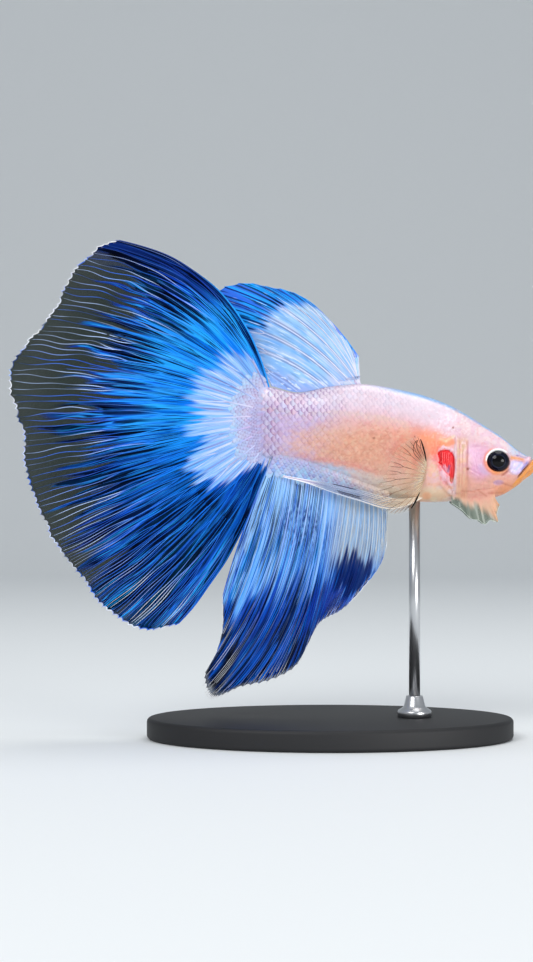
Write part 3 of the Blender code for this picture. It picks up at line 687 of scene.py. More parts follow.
    # gill opening and what frames it
    patch("orange", 0.75 * side, ((16.2, 41.9), (1.35, 0.75), 12), 1.25, 0.6, 0.5 * coarse)
    folds("cream", 0.7 * side, 0.2, ((15.4, 42.4), (16.1, 42.1)), ((16.1, 42.1), (17.3, 42.8)))
    halo = colours["gill"] * np.array([1.0, 2.2, 1.6])
    patch(halo, 0.62 * side, ((15.0, 39.9), (0.95, 1.8), 6), 1.35, 0.5, 0.6 * crisp)
    blot = 0.55 * cells(2.6, 2.6, 93.0, 0.42, 0.62) * side
    patch("gill", blot, ((16.1, 37.9), (1.0, 1.7), 15), 1.2, 0.7)
    for colour, share, start, end in (("rose", 0.55, 1.5, 0.8), ("lip", 0.8, 1.0, 0.5)):
        patch(colour, share * side, ((15.9, 37.2), (0.55, 1.1), 18), start, end, 0.8 * crisp)
    foot = (((15.5, 37.0), (16.7, 35.6)), ((15.4, 36.0), (16.6, 34.6)), ((16.0, 36.9), (17.2, 35.0)))
    folds("rust", 0.30 * side, 0.11, *foot)
    arch = ((15.25, 40.8), (15.85, 41.3), (16.95, 40.9), (17.3, 40.4))
    for line in zip(arch, arch[1:]):
        fold, _ = near_line(x, z, *line)
        wash("lip", 0.9 * ease(fold + 0.3 * crisp, 0.26, 0.10) * side)
    between = ease(oval(x, z, (14.2, 37.9), (0.9, 1.6)) + 0.9 * crisp, 1.3, 0.5) * side
    wash(colours["lip"] * 0.8, 0.35 * between)
    wash("peach", 0.75 * between * cells(2.0, 2.0, 95.0, 0.40, 0.62))
    wash("cream", 0.45 * between * cells(3.1, 3.1, 96.0, 0.58, 0.75))
    patch("orange", 0.45 * side, ((14.2, 41.2), (1.1, 1.6), -10), 1.2, 0.4, 0.6 * coarse)
    patch("cream", 0.6 * side, ((14.3, 34.6), (2.4, 1.3)), 1.2, 0.5)
    patch("orange", 0.4 * side, ((13.6, 34.4), (0.7, 0.6)), 1.3, 0.5)
    wash("gill", 0.95 * gill_opening(x, z) * side)
    # painted shade in the groove before the gill cover
    folds("rust", 0.22 * side, 0.16, ((19.15, 42.2), (19.2, 35.0)))
    dark = colours["cleft"] * np.array([1.0, 0.5, 1.2])
    dots = (((19.25, 38.2), 0.2), ((17.2, 44.0), 0.14), ((11.75, 42.7), 0.14), ((6.1, 42.5), 0.12))
    for place, size in dots:
        patch(dark, 0.85 * side, (place, (size, size)), 1.4, 0.6)
    # overall mottling of live skin
    paint.tint *= (0.93 + 0.10 * grain + 0.06 * fine)[..., None]
    pores = noise(x * 7.5, z * 7.5 + other, 94.0) * ease(x, 12.0, 9.0) * ease(up, 0.5, 0.2)
    wash("rust", 0.30 * ease(pores, 0.55, 0.85))
    wash("cream", 0.30 * span(pores, 0.40, 0.20, 0.02, 0.1))
    wash("lavender", 0.28 * ease(x, 2.5, -5.0) * ease(fine, 0.35, 0.7) * ease(up, 0.4, 0.0))
    wash("rose", 0.22 * ease(noise(x * 3.1, z * 3.1 + 9, 8.0), 0.84, 0.95) * ease(up, -0.1, 0.4))
    return paint.tint


# ---------------------------------------------------------------- shapes of the fins


def fan(base, margin, t, bow, skew=0.0):
    """A ray's point at each share t of its chord, arched to one side by bow times the chord's length."""
    chord = margin - base
    sideways = stack(-chord[..., 1], chord[..., 0])
    arch = 4 * t * (1 - t) * (1 + skew * (t - 0.5))
    return base + chord * t[..., None] + (bow * arch)[..., None] * sideways


def shares(a, t):
    """Both shares as arrays of one shape."""
    return np.broadcast_arrays(np.asarray(a, float), np.asarray(t, float))


def lifted(flat, depth):
    """Points of the side view with their depth across it."""
    return stack(flat[..., 0], depth, flat[..., 1])


def caudal_point(a, t):
    """The tail fin at share a from its top ray to its bottom ray and share t from root to edge."""
    a, t = shares(a, t)
    crinkle = 0.0034 * noise(a * 44, 0 * t, 9.0) * np.sin(TURN * (5.0 * t + 2.5 * noise(a * 30, 0 * t, 4.0)))
    crinkle = crinkle * ease(t, 0.55, 0.8) * span(a, 0.03, 0.1, 0.62, 0.4)
    crinkle = crinkle + 0.0015 * np.sin(TURN * (3.1 * t + 4 * noise(a * 24, 0 * t, 6.0))) * ease(t, 0.3, 0.6)
    a = a + crinkle
    root = np.radians(84.0 - 168.0 * a)
    end, top, bottom = BODY_STATIONS[0][:3]
    middle, half = (top + bottom) / 2, (top - bottom) / 2
    tail = end + TAIL_ROUNDING
    base = stack(tail - (TAIL_ROUNDING + 0.3) * np.cos(root), middle + (half + 0.3) * np.sin(root))
    degrees = CAUDAL_TOP_ANGLE + (CAUDAL_BOTTOM_ANGLE - CAUDAL_TOP_ANGLE) * a
    radius = CAUDAL_RADIUS + 2.9 * bump(degrees, 13.0, 9.0) + 0.8 * bump(degrees, 42.0, 8.0)
    radius = radius - 1.2 * bump(degrees, 54.0, 4.0) - 5.0 * bump(degrees, -72.0, 8.0)
    radius = radius + 0.7 * (noise(a * 13, 0 * a, 2.0) - 0.5) + 0.4 * (noise(a * 45, 0 * a, 3.0) - 0.5)
    turn = np.radians(degrees)
    margin = stack(CAUDAL_CENTRE[0] - radius * np.cos(turn), CAUDAL_CENTRE[1] + radius * np.sin(turn))
    upper = np.clip(1 - a / 0.5, 0.0, 1.0) ** 1.5
    lower = np.clip(a / 0.5 - 1, 0.0, 1.0) ** 1.5
    flat = fan(base, margin, t, -0.158 * upper + 0.06 * lower)
    held = np.clip(t, 0.0, 1.1)
    lean = -1.3 * (1 - ease(a, 0.0, 0.3)) + 0.9 * ease(a, 0.75, 1.0)
    wave = 1.5 * np.sin(TURN * (1.6 * a + 0.05)) + 0.7 * np.sin(TURN * (6.5 * a + 0.2))
    middle_part = span(a, 0.0, 0.2, 1.0, 0.85)
    ripple = -0.13 * np.cos(TURN * TAIL_RAYS * a) * ease(t, 0.0, 0.15) * (1 - 0.6 * t)
    ripple = ripple + 0.16 * np.sin(TURN * (4 * t + 3 * a)) * ease(t, 0.6, 1.0)
    depth = lean * (1 - np.exp(-held / 0.12)) + wave * middle_part * held**1.6 + ripple
    return lifted(flat, depth)


def dorsal_point(a, t):
    """The back fin, from its front ray to its rear ray."""
    a, t = shares(a, t)
    x = smooth(np.clip(a, 0, 1), *DORSAL_BASE_X)
    middle, height, _ = body_section(x)
    base = stack(x, middle + height + 0.2)
    bow = -0.085 * ease(a, 0.0, 0.2) * (1 - 0.7 * ease(a, 0.75, 1.0))
    flat = fan(base, along(DORSAL_MARGIN, np.clip(a, 0, 1)), t, bow)
    held = np.clip(t, 0.0, 1.1)
    wave = 0.4 * np.sin(TURN * (2.5 * a + 0.1)) * held**1.5 + 0.05 * np.sin(TURN * 20 * a) * held
    depth = 1.9 * ease(a, 0.35, 0.85) * (1 - 0.6 * ease(a, 0.88, 1.0)) * held**0.6 + wave
    return lifted(flat, depth)


def anal_point(a, t):
    """The fin below the belly, from its front ray to its rear ray."""
    a, t = shares(a, t)
    x = ANAL_BASE_X[0] + (ANAL_BASE_X[1] - ANAL_BASE_X[0]) * a
    middle, height, _ = body_section(x)
    base = stack(x, middle - height - 0.2)
    held_a = np.clip(a, 0, 1)
    margin = along(ANAL_MARGIN, smooth(held_a, *ANAL_SPREAD))
    flat = fan(base, margin, t, smooth(held_a, *ANAL_BOW), 0.35)
    held = np.clip(t, 0.0, 1.1)
    wave = 0.55 * np.sin(TURN * (3.0 * a + 0.3)) * held**1.5 * ease(a, 1.0, 0.8)
    wave = wave + 0.05 * np.sin(TURN * 27 * a) * ease(t, 0.1, 0.4)
    depth = -0.9 * ease(a, 0.6, 1.0) * (1 - np.exp(-held / 0.12)) + wave
    return lifted(flat, depth)


def pectoral_point(side):
    """The paddle on one flank, from its upper ray to its lower ray."""

    def point(a, t):
        a, t = shares(a, t)
        held_a = np.clip(a, 0, 1)
        base = along(PECTORAL_BASE, held_a)
        flat = fan(base, along(PECTORAL_MARGIN, held_a), t, -0.04 * np.cos(math.pi * a))
        middle, height, half = body_section(base[..., 0])
        level = np.clip(np.abs((base[..., 1] - middle) / height), 0, 1) ** (2 / SECTION_POWER)
        root = half * (1 - level) ** (SECTION_POWER / 2) + 0.35
        lift = 1.9 * np.sin(math.pi * (0.15 + 0.7 * a)) * t + 0.07 * np.sin(TURN * 13 * a) * ease(t, 0.1, 0.6)
        return lifted(flat, side * (root + lift))

    return point


def pelvic_point(side):
    """One pelvic fin: a slender blade laid back, t along it and a from its upper to its lower edge."""

    def point(a, t):
        a, t = shares(a, t)
        station = along(PELVIC_STATIONS, np.clip(t, 0, 1))
        across = 1 - 2 * a
        half = 0.86 * station[..., 3] * across
        fold = 0.22 * np.sin(math.pi * 1.5 * across) * ease(t, 0.05, 0.3) * station[..., 3]
        x, z, y = (station[..., k] for k in range(3))
        return stack(x + 0.25 * half, side * (y - 0.15 * half + fold), z + half)

    return point


def membrane_point(side):
    """The loose frill of the gill membrane under the throat, a along it and t from root to hem. It
    leaves the skin well up the throat's side and hangs clear below."""

    def point(a, t):
        a, t = shares(a, t)
        held_a = np.clip(a, 0, 1)
        root = along(MEMBRANE_ROOT, held_a) + np.array([0.0, 1.9])
        hem = along(MEMBRANE_HEM, held_a)
        flat = root + (hem - root) * t[..., None]
        flat[..., 0] -= 0.55 * np.sin(math.pi * np.clip(t, 0, 1)) * ease(a, 0.6, 1.0)
        start = body_side(root[..., 0], root[..., 1]) - 0.02
        ripple = (0.17 * np.sin(TURN * 3 * a) + 0.08 * np.sin(TURN * 8 * a)) * ease(t, 0.4, 1.0)
        skin = body_side(flat[..., 0], flat[..., 1]) - 0.09
        skin = skin + 0.13 * ease(t, 0.0, 0.12) - 0.25 * ease(a, 0.05, 0.0)
        hang = mix_number(start - 0.5, 1.75, ease(t, 0.0, 0.8))
        depth = (skin**8 + hang**8) ** 0.125 + ripple
        return lifted(flat, side * depth)

    return point


# ---------------------------------------------------------------- markings of the fins


def caudal_tint(a, t, colours, ray=False):
    """Tail fin: a pale core with an edge that steps from ray to ray, then azure, then royal blue broken
    by dark threads, and a clear outer band. The top edge is navy and the lower part blue to its rim."""
    point = caudal_point(a, t)
    x, z = point[..., 0], point[..., 2]
    cells = partial(noise_at, a, t)
    r = np.hypot(x - CAUDAL_CENTRE[0], z - CAUDAL_CENTRE[1])
    held = np.clip(a, 0, 1)
    step = hashed(np.floor(a * TAIL_RAYS), 0 * t, 3.0) - 0.5
    streak = cells(110, 4.0, 11.0)
    thread = cells(240, 7.0, 12.0)
    broad = cells(40, 3.0, 13.0)
    core_edge = smooth(
        held,
        (0.0, 0.05, 0.12, 0.2, 0.3, 0.4, 0.5, 0.57, 0.65, 0.75, 0.8, 0.86, 1.0),
        (6.0, 9.8, 10.6, 10.4, 11.2, 10.0, 9.2, 9.0, 11.7, 11.9, 10.2, 6.3, 5.0),
    )
    core_edge = core_edge + 1.2 * step + 3.6 * (streak - 0.5)
    core = ease(r, core_edge + 0.8, core_edge - 1.0) * ease(a, 0.0, 0.03)
    upper, lower = ease(a, 0.62, 0.42), ease(a, 0.66, 0.86)
    paint = Paint(x.shape, colours, "azure")
    wash = paint.wash
    wash("blue", ease(r + 5.0 * (broad - 0.5) + 3.0 * (1 - upper), 14.5, 21.0))
    wash("royal", ease(r + 7.0 * (streak - 0.5) + 1.5 * (1 - upper), 20.0, 27.0))
    wash("royal", 0.8 * lower * ease(r, 22.0, 8.0))
    wash("blue", 0.85 * lower * ease(r, 16.0, 24.0) * ease(broad, 0.3, 0.55))
    wash("teal", 0.6 * ease(a, 0.84, 0.96) * ease(r, 14.0, 8.0))
    # bright crests next to the core, and black lens-shaped gaps where the colour cells thin out
    wash("cyan", 0.9 * cells(95, 5.5, 17.0, 0.48, 0.72) * ease(r, 22.0, 15.0) * (0.15 + 0.85 * upper))
    wash(colours["azure"] * 0.55, 0.7 * (1 - upper) * ease(r, 11.0, 16.0) * cells(60, 3, 28.0, 0.3, 0.6))
    lens = ease(cells(130, 4.0, 16.0) + 0.08 * bump(r, 22.0, 5.0), 0.60, 0.67)
    wash("night", 0.90 * lens * ease(r, 13.5, 18.0) * (0.6 + 0.4 * upper))
    wash("teal", 0.7 * cells(200, 4.0, 18.0, 0.58, 0.70) * ease(r, 10.5, 13.0))
    wash("cyan", 0.75 * cells(200, 4.0, 21.0, 0.60, 0.70) * ease(r, 15.0, 19.0) * (0.4 + 0.6 * lower))
    # pale core: sky white, lavender next to the tail stem
    pale = Paint(x.shape, colours, "core")
    pale.wash("lavender", ease(r, 5.5, 1.5))
    # across the pleats the frost stripes are painted highlight mixed with pale threads of the fin's own, and
    # the dusk lines are painted shade
    rib = np.cos(TURN * TAIL_RAYS * a)
    pale.wash("frost", (0.6 * ease(rib, -0.1, -0.95) + 0.3 * ease(thread, 0.55, 0.8)) * ease(r, 12.0, 5.0))
    pale.wash("dusk", 0.65 * ease(rib + 0.5 * (thread - 0.5), 0.80, 1.0) * ease(r, 4.0, 6.5))
    pale.wash("sky", 0.55 * cells(130, 3.0, 55.0, 0.56, 0.70) * ease(r, 4.5, 8.5))
    wash(pale.tint, core)
    wash("night", 0.5 * lower * cells(150, 4.0, 29.0, 0.52, 0.68) * ease(r, 10.0, 13.0))
    # clear outer band
    rim = smooth(
        held,
        (0.0, 0.06, 0.12, 0.25, 0.4, 0.5, 0.62, 0.72, 0.8, 0.88, 1.0),
        (60.0, 31.0, 24.5, 23.5, 24.5, 25.5, 26.5, 28.0, 32.5, 38.0, 42.0),
    )
    clear = ease(r + 12.0 * (cells(150, 2.6, 19.0) - 0.5) + 4.0 * (broad - 0.5), rim - 1.0, rim + 2.5)
    clear = np.maximum(clear, 0.7 * lower * ease(r, 28.0, 32.0) * ease(streak, 0.5, 0.66))
    wash("smoke", clear)
    alpha = 1 - 0.24 * clear - 0.06 * clear * ease(r, 28.0, 34.0)
    # navy leading edge
    edge = ease(a + 0.02 * (streak - 0.5), 0.065 + 0.04 * ease(r, 20.0, 30.0), 0.03) * ease(r, 15.0, 22.0)
    wash("navy", 0.92 * edge)
    alpha = np.maximum(alpha, 0.95 * edge * ease(r + 5 * (streak - 0.5), 36.0, 32.0))
    near = ease(a, 0.045, 0.0) * ease(r, 17.0, 12.0)
    wash("royal", 0.85 * near)
    # threads: few dark ones in the core, many farther out
    dark = 0.45 + 0.06 * ease(r, 11.0, 15.0) + 0.05 * ease(r, 17.0, 24.0) + 0.03 * (1 - upper)
    dark = dark + 0.34 * (cells(52, 3.5, 15.0) - 0.5) * ease(r, 9.0, 15.0)
    dark = dark - 0.06 * upper * ease(r, 20.0, 17.0)
    dark = dark * (1 - core) + 0.40 * core + 0.20 * near
    light = mix_number(0.36 + 0.17 * upper - 0.25 * lens + 0.12 * lower * ease(r, 16.0, 22.0), 0.46, core)
    light = light * (1 - 0.7 * edge)
    threads = (mix_number(dark, 0.3, clear), light * (1 - clear), mix_number(0.93, 0.42, core), 1.0)
    if ray:
        lot = hashed(np.floor(a * TAIL_TIPS), 0 * t, 20.0)
        pale_ray = Paint(x.shape, colours, "ray")
        pale_ray.wash("blue", 0.9 * ease(lot, 0.25 + 0.1 * upper, 0.7))
        between = ease(np.abs((a * TAIL_TIPS + 0.5) % 1.0 - 0.5), 0.2, 0.1)
        pale_ray.wash(colours["blue"] * 0.8, 0.85 * between * (1 - 0.6 * lower))
        pale_ray.wash("azure", 0.7 * ease(a, 0.60, 0.72) * ease(r, 29.0, 24.0))
        outer = ease(r + 6 * (cells(60, 4, 22.0) - 0.5), 16.0, 24.0)
        wash(mixed(colours["azure"], colours["cyan"], upper), 0.75 * (1 - core) * (1 - outer))
        dash = cells(80, 8, 24.0, 0.30, 0.62)
        wash(pale_ray.tint, outer * (0.25 + 0.75 * np.maximum(dash, 0.8 * lower)) * (1 - 0.8 * edge))
        wash("royal", 0.5 * outer * ease(lot, 0.55, 0.75) * (1 - ease(r, 26.0, 30.0)))
        wash("frost", 0.45 * core * cells(70, 6, 23.0, 0.35, 0.6))
        wash("bright", 0.5 * lower * ease(r, 25.5, 28.5) * ease(lot, 0.6, 0.4))
        hem_light = 0.8 - 0.4 * ease(a, 0.36, 0.50)
        wash("bright", hem_light * ease(t, 0.975, 0.99) * cells(60, 0, 25.0, 0.2, 0.5))
        return packed(paint.tint)
    return packed(paint.tint, alpha, threads)


def dorsal_tint(a, t, colours, ray=False):
    """Back fin: pale blue between white rays with thin painted shadows along their sides, strong blue with
    long navy threads along the upper edge, and a lavender web behind the last ray."""
    point = dorsal_point(a, t)
    x, z = point[..., 0], point[..., 2]
    cells = partial(noise_at, a, t)
    streak = cells(60, 4.0, 31.0)
    cloud = noise(x * 0.8, z * 0.8, 33.0)
    mottle = cells(90, 6.0, 34.0)
    paint = Paint(x.shape, colours, "haze")
    wash = paint.wash
    wash("sky", 0.20 * ease(cloud, 0.3, 0.8) + 0.30 * ease(a, 0.15, 0.7) + 0.20 * ease(mottle, 0.5, 0.8))
    wash("frost", 0.35 * ease(mottle, 0.5, 0.2))
    web = ease(a, 0.88, 0.95) * ease(t, 0.75, 0.5)
    wash("lilac", 0.25 * ease(t, 0.2, 0.0) + 0.35 * web)
    wash("sky", 0.45 * web)
    edge_t = smooth(
        np.clip(a, 0, 1),
        (0.0, 0.12, 0.3, 0.42, 0.6, 0.68, 0.76, 0.85, 1.0),
        (0.96, 0.92, 0.88, 0.79, 0.68, 0.66, 0.78, 0.98, 1.1),
    )
    edge = ease(t + 0.08 * (streak - 0.5), edge_t - 0.08, edge_t + 0.04)
    wash("blue", 0.92 * edge)
    wash("cyan", 0.9 * edge * cells(90, 2.0, 37.0, 0.22, 0.42))
    long_thread = cells(150, 1.3, 35.0, 0.66, 0.72) * ease(t, 0.50, 0.64) * span(a, 0.22, 0.4, 0.86, 0.78)
    wash("navy", 0.92 * long_thread * ease(edge + 0.3 * ease(a, 0.5, 0.8), 0.3, 0.8))
    for place in (((1.1, 58.2), (0.5, 1.5), 35), ((3.7, 54.6), (0.4, 0.7))):
        wash("blue", 0.85 * ease(oval(x, z, *place), 1.1, 0.6))
    # painted shadow: a thin dark line along both sides of each ray
    apart = np.abs((a * BACK_RAYS) % 1.0 - 0.5)
    shade = bump(apart, 0.10, 0.045) * ease(t, 0.02, 0.1) * (0.4 + 0.9 * cells(40, 5, 36.0))
    wash(colours["dusk"] * 0.7, 0.60 * shade * (1 - 0.6 * edge))
    alpha = 0.98 - 0.06 * ease(t, 0.2, 0.7) * (1 - edge)
    dark = mix_number(0.38, 0.42, edge * ease(a, 0.15, 0.4))
    depth = mix_number(0.20, 0.70, edge)
    threads = [dark, mix_number(0.38, 0.30, edge), depth, 1.0]
    if ray:
        wash("frost", 0.85 * (1 - 0.95 * edge) * (1 - 0.6 * web))
        wash("cyan", 0.6 * edge)
        return packed(paint.tint)
    return packed(paint.tint, alpha, threads)


def anal_tint(a, t, colours, ray=False):
    """Lower fin: grey-white and clear in front, sky blue behind with long dark streaks, royal blue low
    down, a navy patch at the front edge that runs on down the margin, a speckled cloud below the tail
    stem, and smoky streaks at the tip."""
    point = anal_point(a, t)
    x, z = point[..., 0], point[..., 2]
    cells = partial(noise_at, a, t)
    streak = cells(80, 4.0, 41.0)
    broad = cells(22, 3.0, 43.0)
    long_line = cells(150, 2.6, 45.0)
    front = ease(a, 0.56, 0.30)
    paint = Paint(x.shape, colours, "sky")
    wash = paint.wash
    wash("azure", 0.25 + 0.45 * ease(broad, 0.45, 0.75) + 0.25 * ease(z, 30.0, 20.0))
    wash("ash", 0.95 * front * ease(z, 22.0, 27.0))
    wash("ivory", 0.35 * front * ease(long_line, 0.45, 0.6) * ease(z, 22.0, 27.0))
    wash("haze", 0.55 * ease(z + 5 * (long_line - 0.5), 27.0, 33.0) * (1 - front))
    wash("lavender", 0.7 * ease(t, 0.12, 0.0))
    cloudy = ease(oval(x, z, (-4.2, 29.6), (3.2, 4.6), 20) + 0.9 * (streak - 0.5), 1.3, 0.3)
    speckle = cloudy * noise_at(x, z, 4.2, 2.6, 44.0, 0.30, 0.58)
    wash("royal", 0.85 * speckle)
    strip = ease(a, 0.955, 0.985) * ease(t, 0.30, 0.45)
    wash("royal", 0.9 * strip)
    rear_line = ease(long_line, 0.56, 0.66) * (1 - front) * ease(t, 0.12, 0.3)
    wash("royal", 0.8 * rear_line)
    wash("azure", 0.6 * cells(170, 3.0, 51.0, 0.48, 0.60) * (1 - front))
    wash("haze", 0.55 * cells(150, 4.0, 52.0, 0.56, 0.68) * (1 - 0.5 * front))
    wash("cyan", 0.5 * cells(140, 3.5, 57.0, 0.50, 0.62) * (1 - front) * ease(z, 31.0, 27.0))
    wash(colours["royal"] * 0.8, 0.75 * speckle)
    low = ease(z + 7 * (streak - 0.5) + 3 * (broad - 0.5), 27.0 - 5.0 * ease(a, 0.55, 0.95), 17.5)
    wash(mixed(colours["royal"], colours["navy"], 0.65 * ease(z, 20.0, 13.0)), 0.95 * low)
    wash("blue", 0.6 * low * ease(broad, 0.50, 0.68))
    wash("azure", 0.6 * low * cells(160, 5.0, 53.0, 0.64, 0.72))
    wash("night", 0.85 * low * cells(130, 4.5, 49.0, 0.53, 0.64))
    navy = ease(oval(x, z, (3.6, 23.1), (3.6, 3.0), -45) + 0.8 * (streak - 0.5), 1.2, 0.75)
    down = ease(oval(x, z, (-0.4, 19.6), (6.4, 2.0), 46) + 0.7 * (streak - 0.5), 1.25, 0.7)
    wash(colours["royal"] * 0.8, 0.9 * down)
    wash("navy", 0.93 * np.maximum(navy, 0.55 * down * ease(broad, 0.4, 0.6)) * ease(t, 0.995, 0.97))
    wash("azure", 0.6 * np.maximum(navy, down) * cells(150, 5.0, 54.0, 0.64, 0.74) * ease(z, 25.0, 22.0))
    tip = ease(oval(x, z, (-16.0, 10.8), (2.4, 6.5), -18), 1.2, 0.6)
    wash("night", 0.92 * tip * ease(streak, 0.28, 0.45))
    rim = ease(t, 0.965, 0.985) * ease(a, 0.1, 0.35)
    wash("ash", 0.7 * rim)
    alpha = 0.98 - 0.22 * front * ease(t, 0.15, 0.5) * (1 - navy)
    alpha = alpha - 0.15 * tip * ease(streak, 0.45, 0.6) - 0.3 * rim
    strong = np.maximum(np.maximum(low, speckle), np.maximum(tip, 0.6 * ease(a, 0.45, 0.7)))
    dark = mix_number(0.42, 0.50, strong) + (0.03 + 0.26 * (cells(34, 3.0, 48.0) - 0.5)) * (1 - front)
    depth = mix_number(0.40, 0.90, np.maximum(strong, 0.75 * (1 - front)))
    light = 0.50 - 0.3 * navy - 0.2 * low
    threads = [dark, light, depth, 1.0]
    if ray:
        lot = hashed(np.floor(a * LOWER_TIPS), 0 * t, 47.0)
        wash("ivory", 0.6 * front * ease(z, 24.0, 29.0))
        dash = cells(54, 9, 50.0, 0.3, 0.6)
        wash("ray", 0.7 * (1 - front) * ease(lot, 0.4, 0.7) * (1 - 0.7 * low) * (0.3 + 0.7 * dash))
        tip_ray = np.maximum(ease(t, 0.9, 0.98), 0.6 * tip) * ease(lot, 0.45, 0.7)
        wash("bright", 0.85 * np.maximum(tip_ray, ease(t, 0.982, 0.988) * ease(a, 0.1, 0.3)))
        return packed(paint.tint)
    return packed(paint.tint, alpha, threads)


# ---------------------------------------------------------------- materials


def node(tree, kind, links=None, **settings):
    """Adds a shader node. Settings are its own fields, or inputs by name if they start with a capital,
    and links maps an input's name or number to the output that feeds it, or to its value."""
    made = tree.nodes.new("ShaderNode" + kind)
    for key, value in settings.items():
        if not key[0].isupper():
            setattr(made, key, value)
    for key, value in settings.items():
        if key[0].isupper():
            made.inputs[key.replace("_", " ")].default_value = value
    for key, source in (links or {}).items():
        if isinstance(source, bpy.types.NodeSocket):
            tree.links.new(source, made.inputs[key])
        else:
            made.inputs[key].default_value = source
    return made


def worked(tree, operation, *inputs):
    """The result of one step of arithmetic on outputs and numbers."""
    return node(tree, "Math", dict(enumerate(inputs)), operation=operation).outputs["Value"]


def material(name, **sockets):
    """A new material with one Principled shader whose sockets are set."""
    made = bpy.data.materials.new(name)
    made.use_nodes = True
    shader = made.node_tree.nodes["Principled BSDF"]
    for key, value in sockets.items():
        shader.inputs[key.replace("_", " ")].default_value = value
    return made, made.node_tree, shader


def tinted(name, **sockets):
    """A material whose colour is each point's tint."""
    made, tree, shader = material(name, **sockets)
    tint = node(tree, "Attribute", attribute_name="tint")
    tree.links.new(tint.outputs["Color"], shader.inputs["Base Color"])
    return made, tree, shader


def roughen(tree, shader, size, detail, strength, depth):
    """Breaks a surface's gloss by a fine grain of that size and depth in millimetres."""
    place = node(tree, "TexCoord").outputs["Object"]
    grain = node(tree, "TexNoise", {"Vector": place}, Scale=1 / (size * MM), Detail=detail)
    dent = node(tree, "Bump", {"Height": grain.outputs["Fac"]}, Strength=strength, Distance=depth * MM)
    tree.links.new(dent.outputs["Normal"], shader.inputs["Normal"])


def kept(make, name, *values):
    """The material of that name, made when it is first asked for."""
    return bpy.data.materials.get(name) or make(name, *values)


def skin_material(name):
    """Live fish skin under its slime: coloured cells below a clear wet film. The tint carries the
    markings, and a fine grain of 0.3 mm breaks the gloss as the cells do."""
    made, tree, shader = tinted(
        name,
        Roughness=0.42,
        IOR=1.38,
        Coat_Weight=0.35,
        Coat_Roughness=0.16,
        Subsurface_Weight=0.12,
        Subsurface_Radius=(1.0, 0.45, 0.3),
        Subsurface_Scale=0.7 * MM,
    )
    roughen(tree, shader, 0.3, 2.0, 0.12, 0.05)
    return made


def scale_material(name):
    """Fish scale: thin clear bone over silvery cells, so it is glossier than the skin. Black and violet cells
    crowd along its free edge, and the line about 0.1 mm wide drawn there is partly these cells and partly
    painted shade under the free edge."""
    made, tree, shader = material(
        name,
        Roughness=0.36,
        IOR=1.45,
        Coat_Weight=0.35,
        Coat_Roughness=0.12,
        Subsurface_Weight=0.08,
        Subsurface_Radius=(1.0, 0.5, 0.4),
        Subsurface_Scale=0.5 * MM,
    )
    tint = node(tree, "Attribute", attribute_name="tint").outputs["Color"]
    marks = node(tree, "Attribute", attribute_name="threads").outputs["Color"]
    place = node(tree, "SeparateColor", {"Color": marks}).outputs
    edge = worked(tree, "MAXIMUM", place["Red"], place["Green"])
    line = node(tree, "MapRange", {"Value": edge}, From_Min=0.75, From_Max=0.95)
    share = worked(tree, "MULTIPLY", line.outputs["Result"], place["Blue"])
    # the dark line round the free edge: partly dark cells, partly painted shade
    dark = node(tree, "VectorMath", {0: tint, 1: (0.42, 0.26, 0.48)}, operation="MULTIPLY")
    drawn = node(tree, "Mix", {0: share, 6: tint, 7: dark.outputs["Vector"]}, data_type="RGBA")
    tree.links.new(drawn.outputs[2], shader.inputs["Base Color"])
    return made


def fin_material(name, roughness=0.5, across=320.0, ribs=160, light="#34A2F5"):
    """Fin film: a clear skin with rows of coloured cells along the rays. The tint carries colour and
    opacity. Threads are noise stretched along the fin's own map, on top of even ribs. The dark ones are
    gaps between cell rows and the light ones the bright crests."""
    made, tree, shader = material(name, Roughness=roughness, IOR=1.36, Specular_IOR_Level=0.03)
    tint = node(tree, "Attribute", attribute_name="tint")
    marks = node(tree, "Attribute", attribute_name="threads").outputs["Color"]
    amounts = node(tree, "SeparateColor", {"Color": marks}).outputs
    place = node(tree, "UVMap", uv_map="Rays").outputs["UV"]
    apart = node(tree, "SeparateXYZ", {"Vector": place}).outputs["X"]
    masks = []
    for shift, width, amount, most, phase in ((0.0, 1.0, "Red", 1.0, 0.0), (7.3, 1.5, "Green", 0.6, math.pi)):
        size = (across * width, 5.0 * width, 1.0)
        stretch = node(tree, "Mapping", {"Vector": place}, Location=(shift, shift, shift), Scale=size)
        cells = node(tree, "TexNoise", {"Vector": stretch.outputs["Vector"]}, Scale=1.0, Detail=2.0)
        wave = worked(tree, "COSINE", worked(tree, "MULTIPLY_ADD", apart, ribs * TURN, phase))
        rib = worked(tree, "MULTIPLY_ADD", wave, 0.07, cells.outputs["Fac"])
        level = worked(tree, "ADD", rib, amounts[amount])
        mask = node(tree, "MapRange", {"Value": level}, From_Min=0.98, From_Max=1.07, To_Max=most)
        masks.append(mask.outputs["Result"])
    mixing = {0: masks[1], 6: tint.outputs["Color"], 7: (*linear(light), 1.0)}
    crest = node(tree, "Mix", mixing, data_type="RGBA")
    left = worked(tree, "SUBTRACT", 1.0, worked(tree, "MULTIPLY", masks[0], amounts["Blue"]))
    shade = node(tree, "VectorMath", {0: crest.outputs[2], "Scale": left}, operation="SCALE")
    tree.links.new(shade.outputs["Vector"], shader.inputs["Base Color"])
    tree.links.new(tint.outputs["Alpha"], shader.inputs["Alpha"])
    return made


def ray_material(name):
    """Fin ray: a thin rod of clear bone in skin, a little glossier than the film between."""
    return tinted(name, Roughness=0.4, IOR=1.4, Specular_IOR_Level=0.15)[0]


def eye_material(name):
    """Cornea over a dark eye: clear, wet and mirror smooth."""
    return tinted(
        name, Roughness=0.10, IOR=1.376, Specular_IOR_Level=0.2, Coat_Weight=0.15, Coat_Roughness=0.02
    )[0]


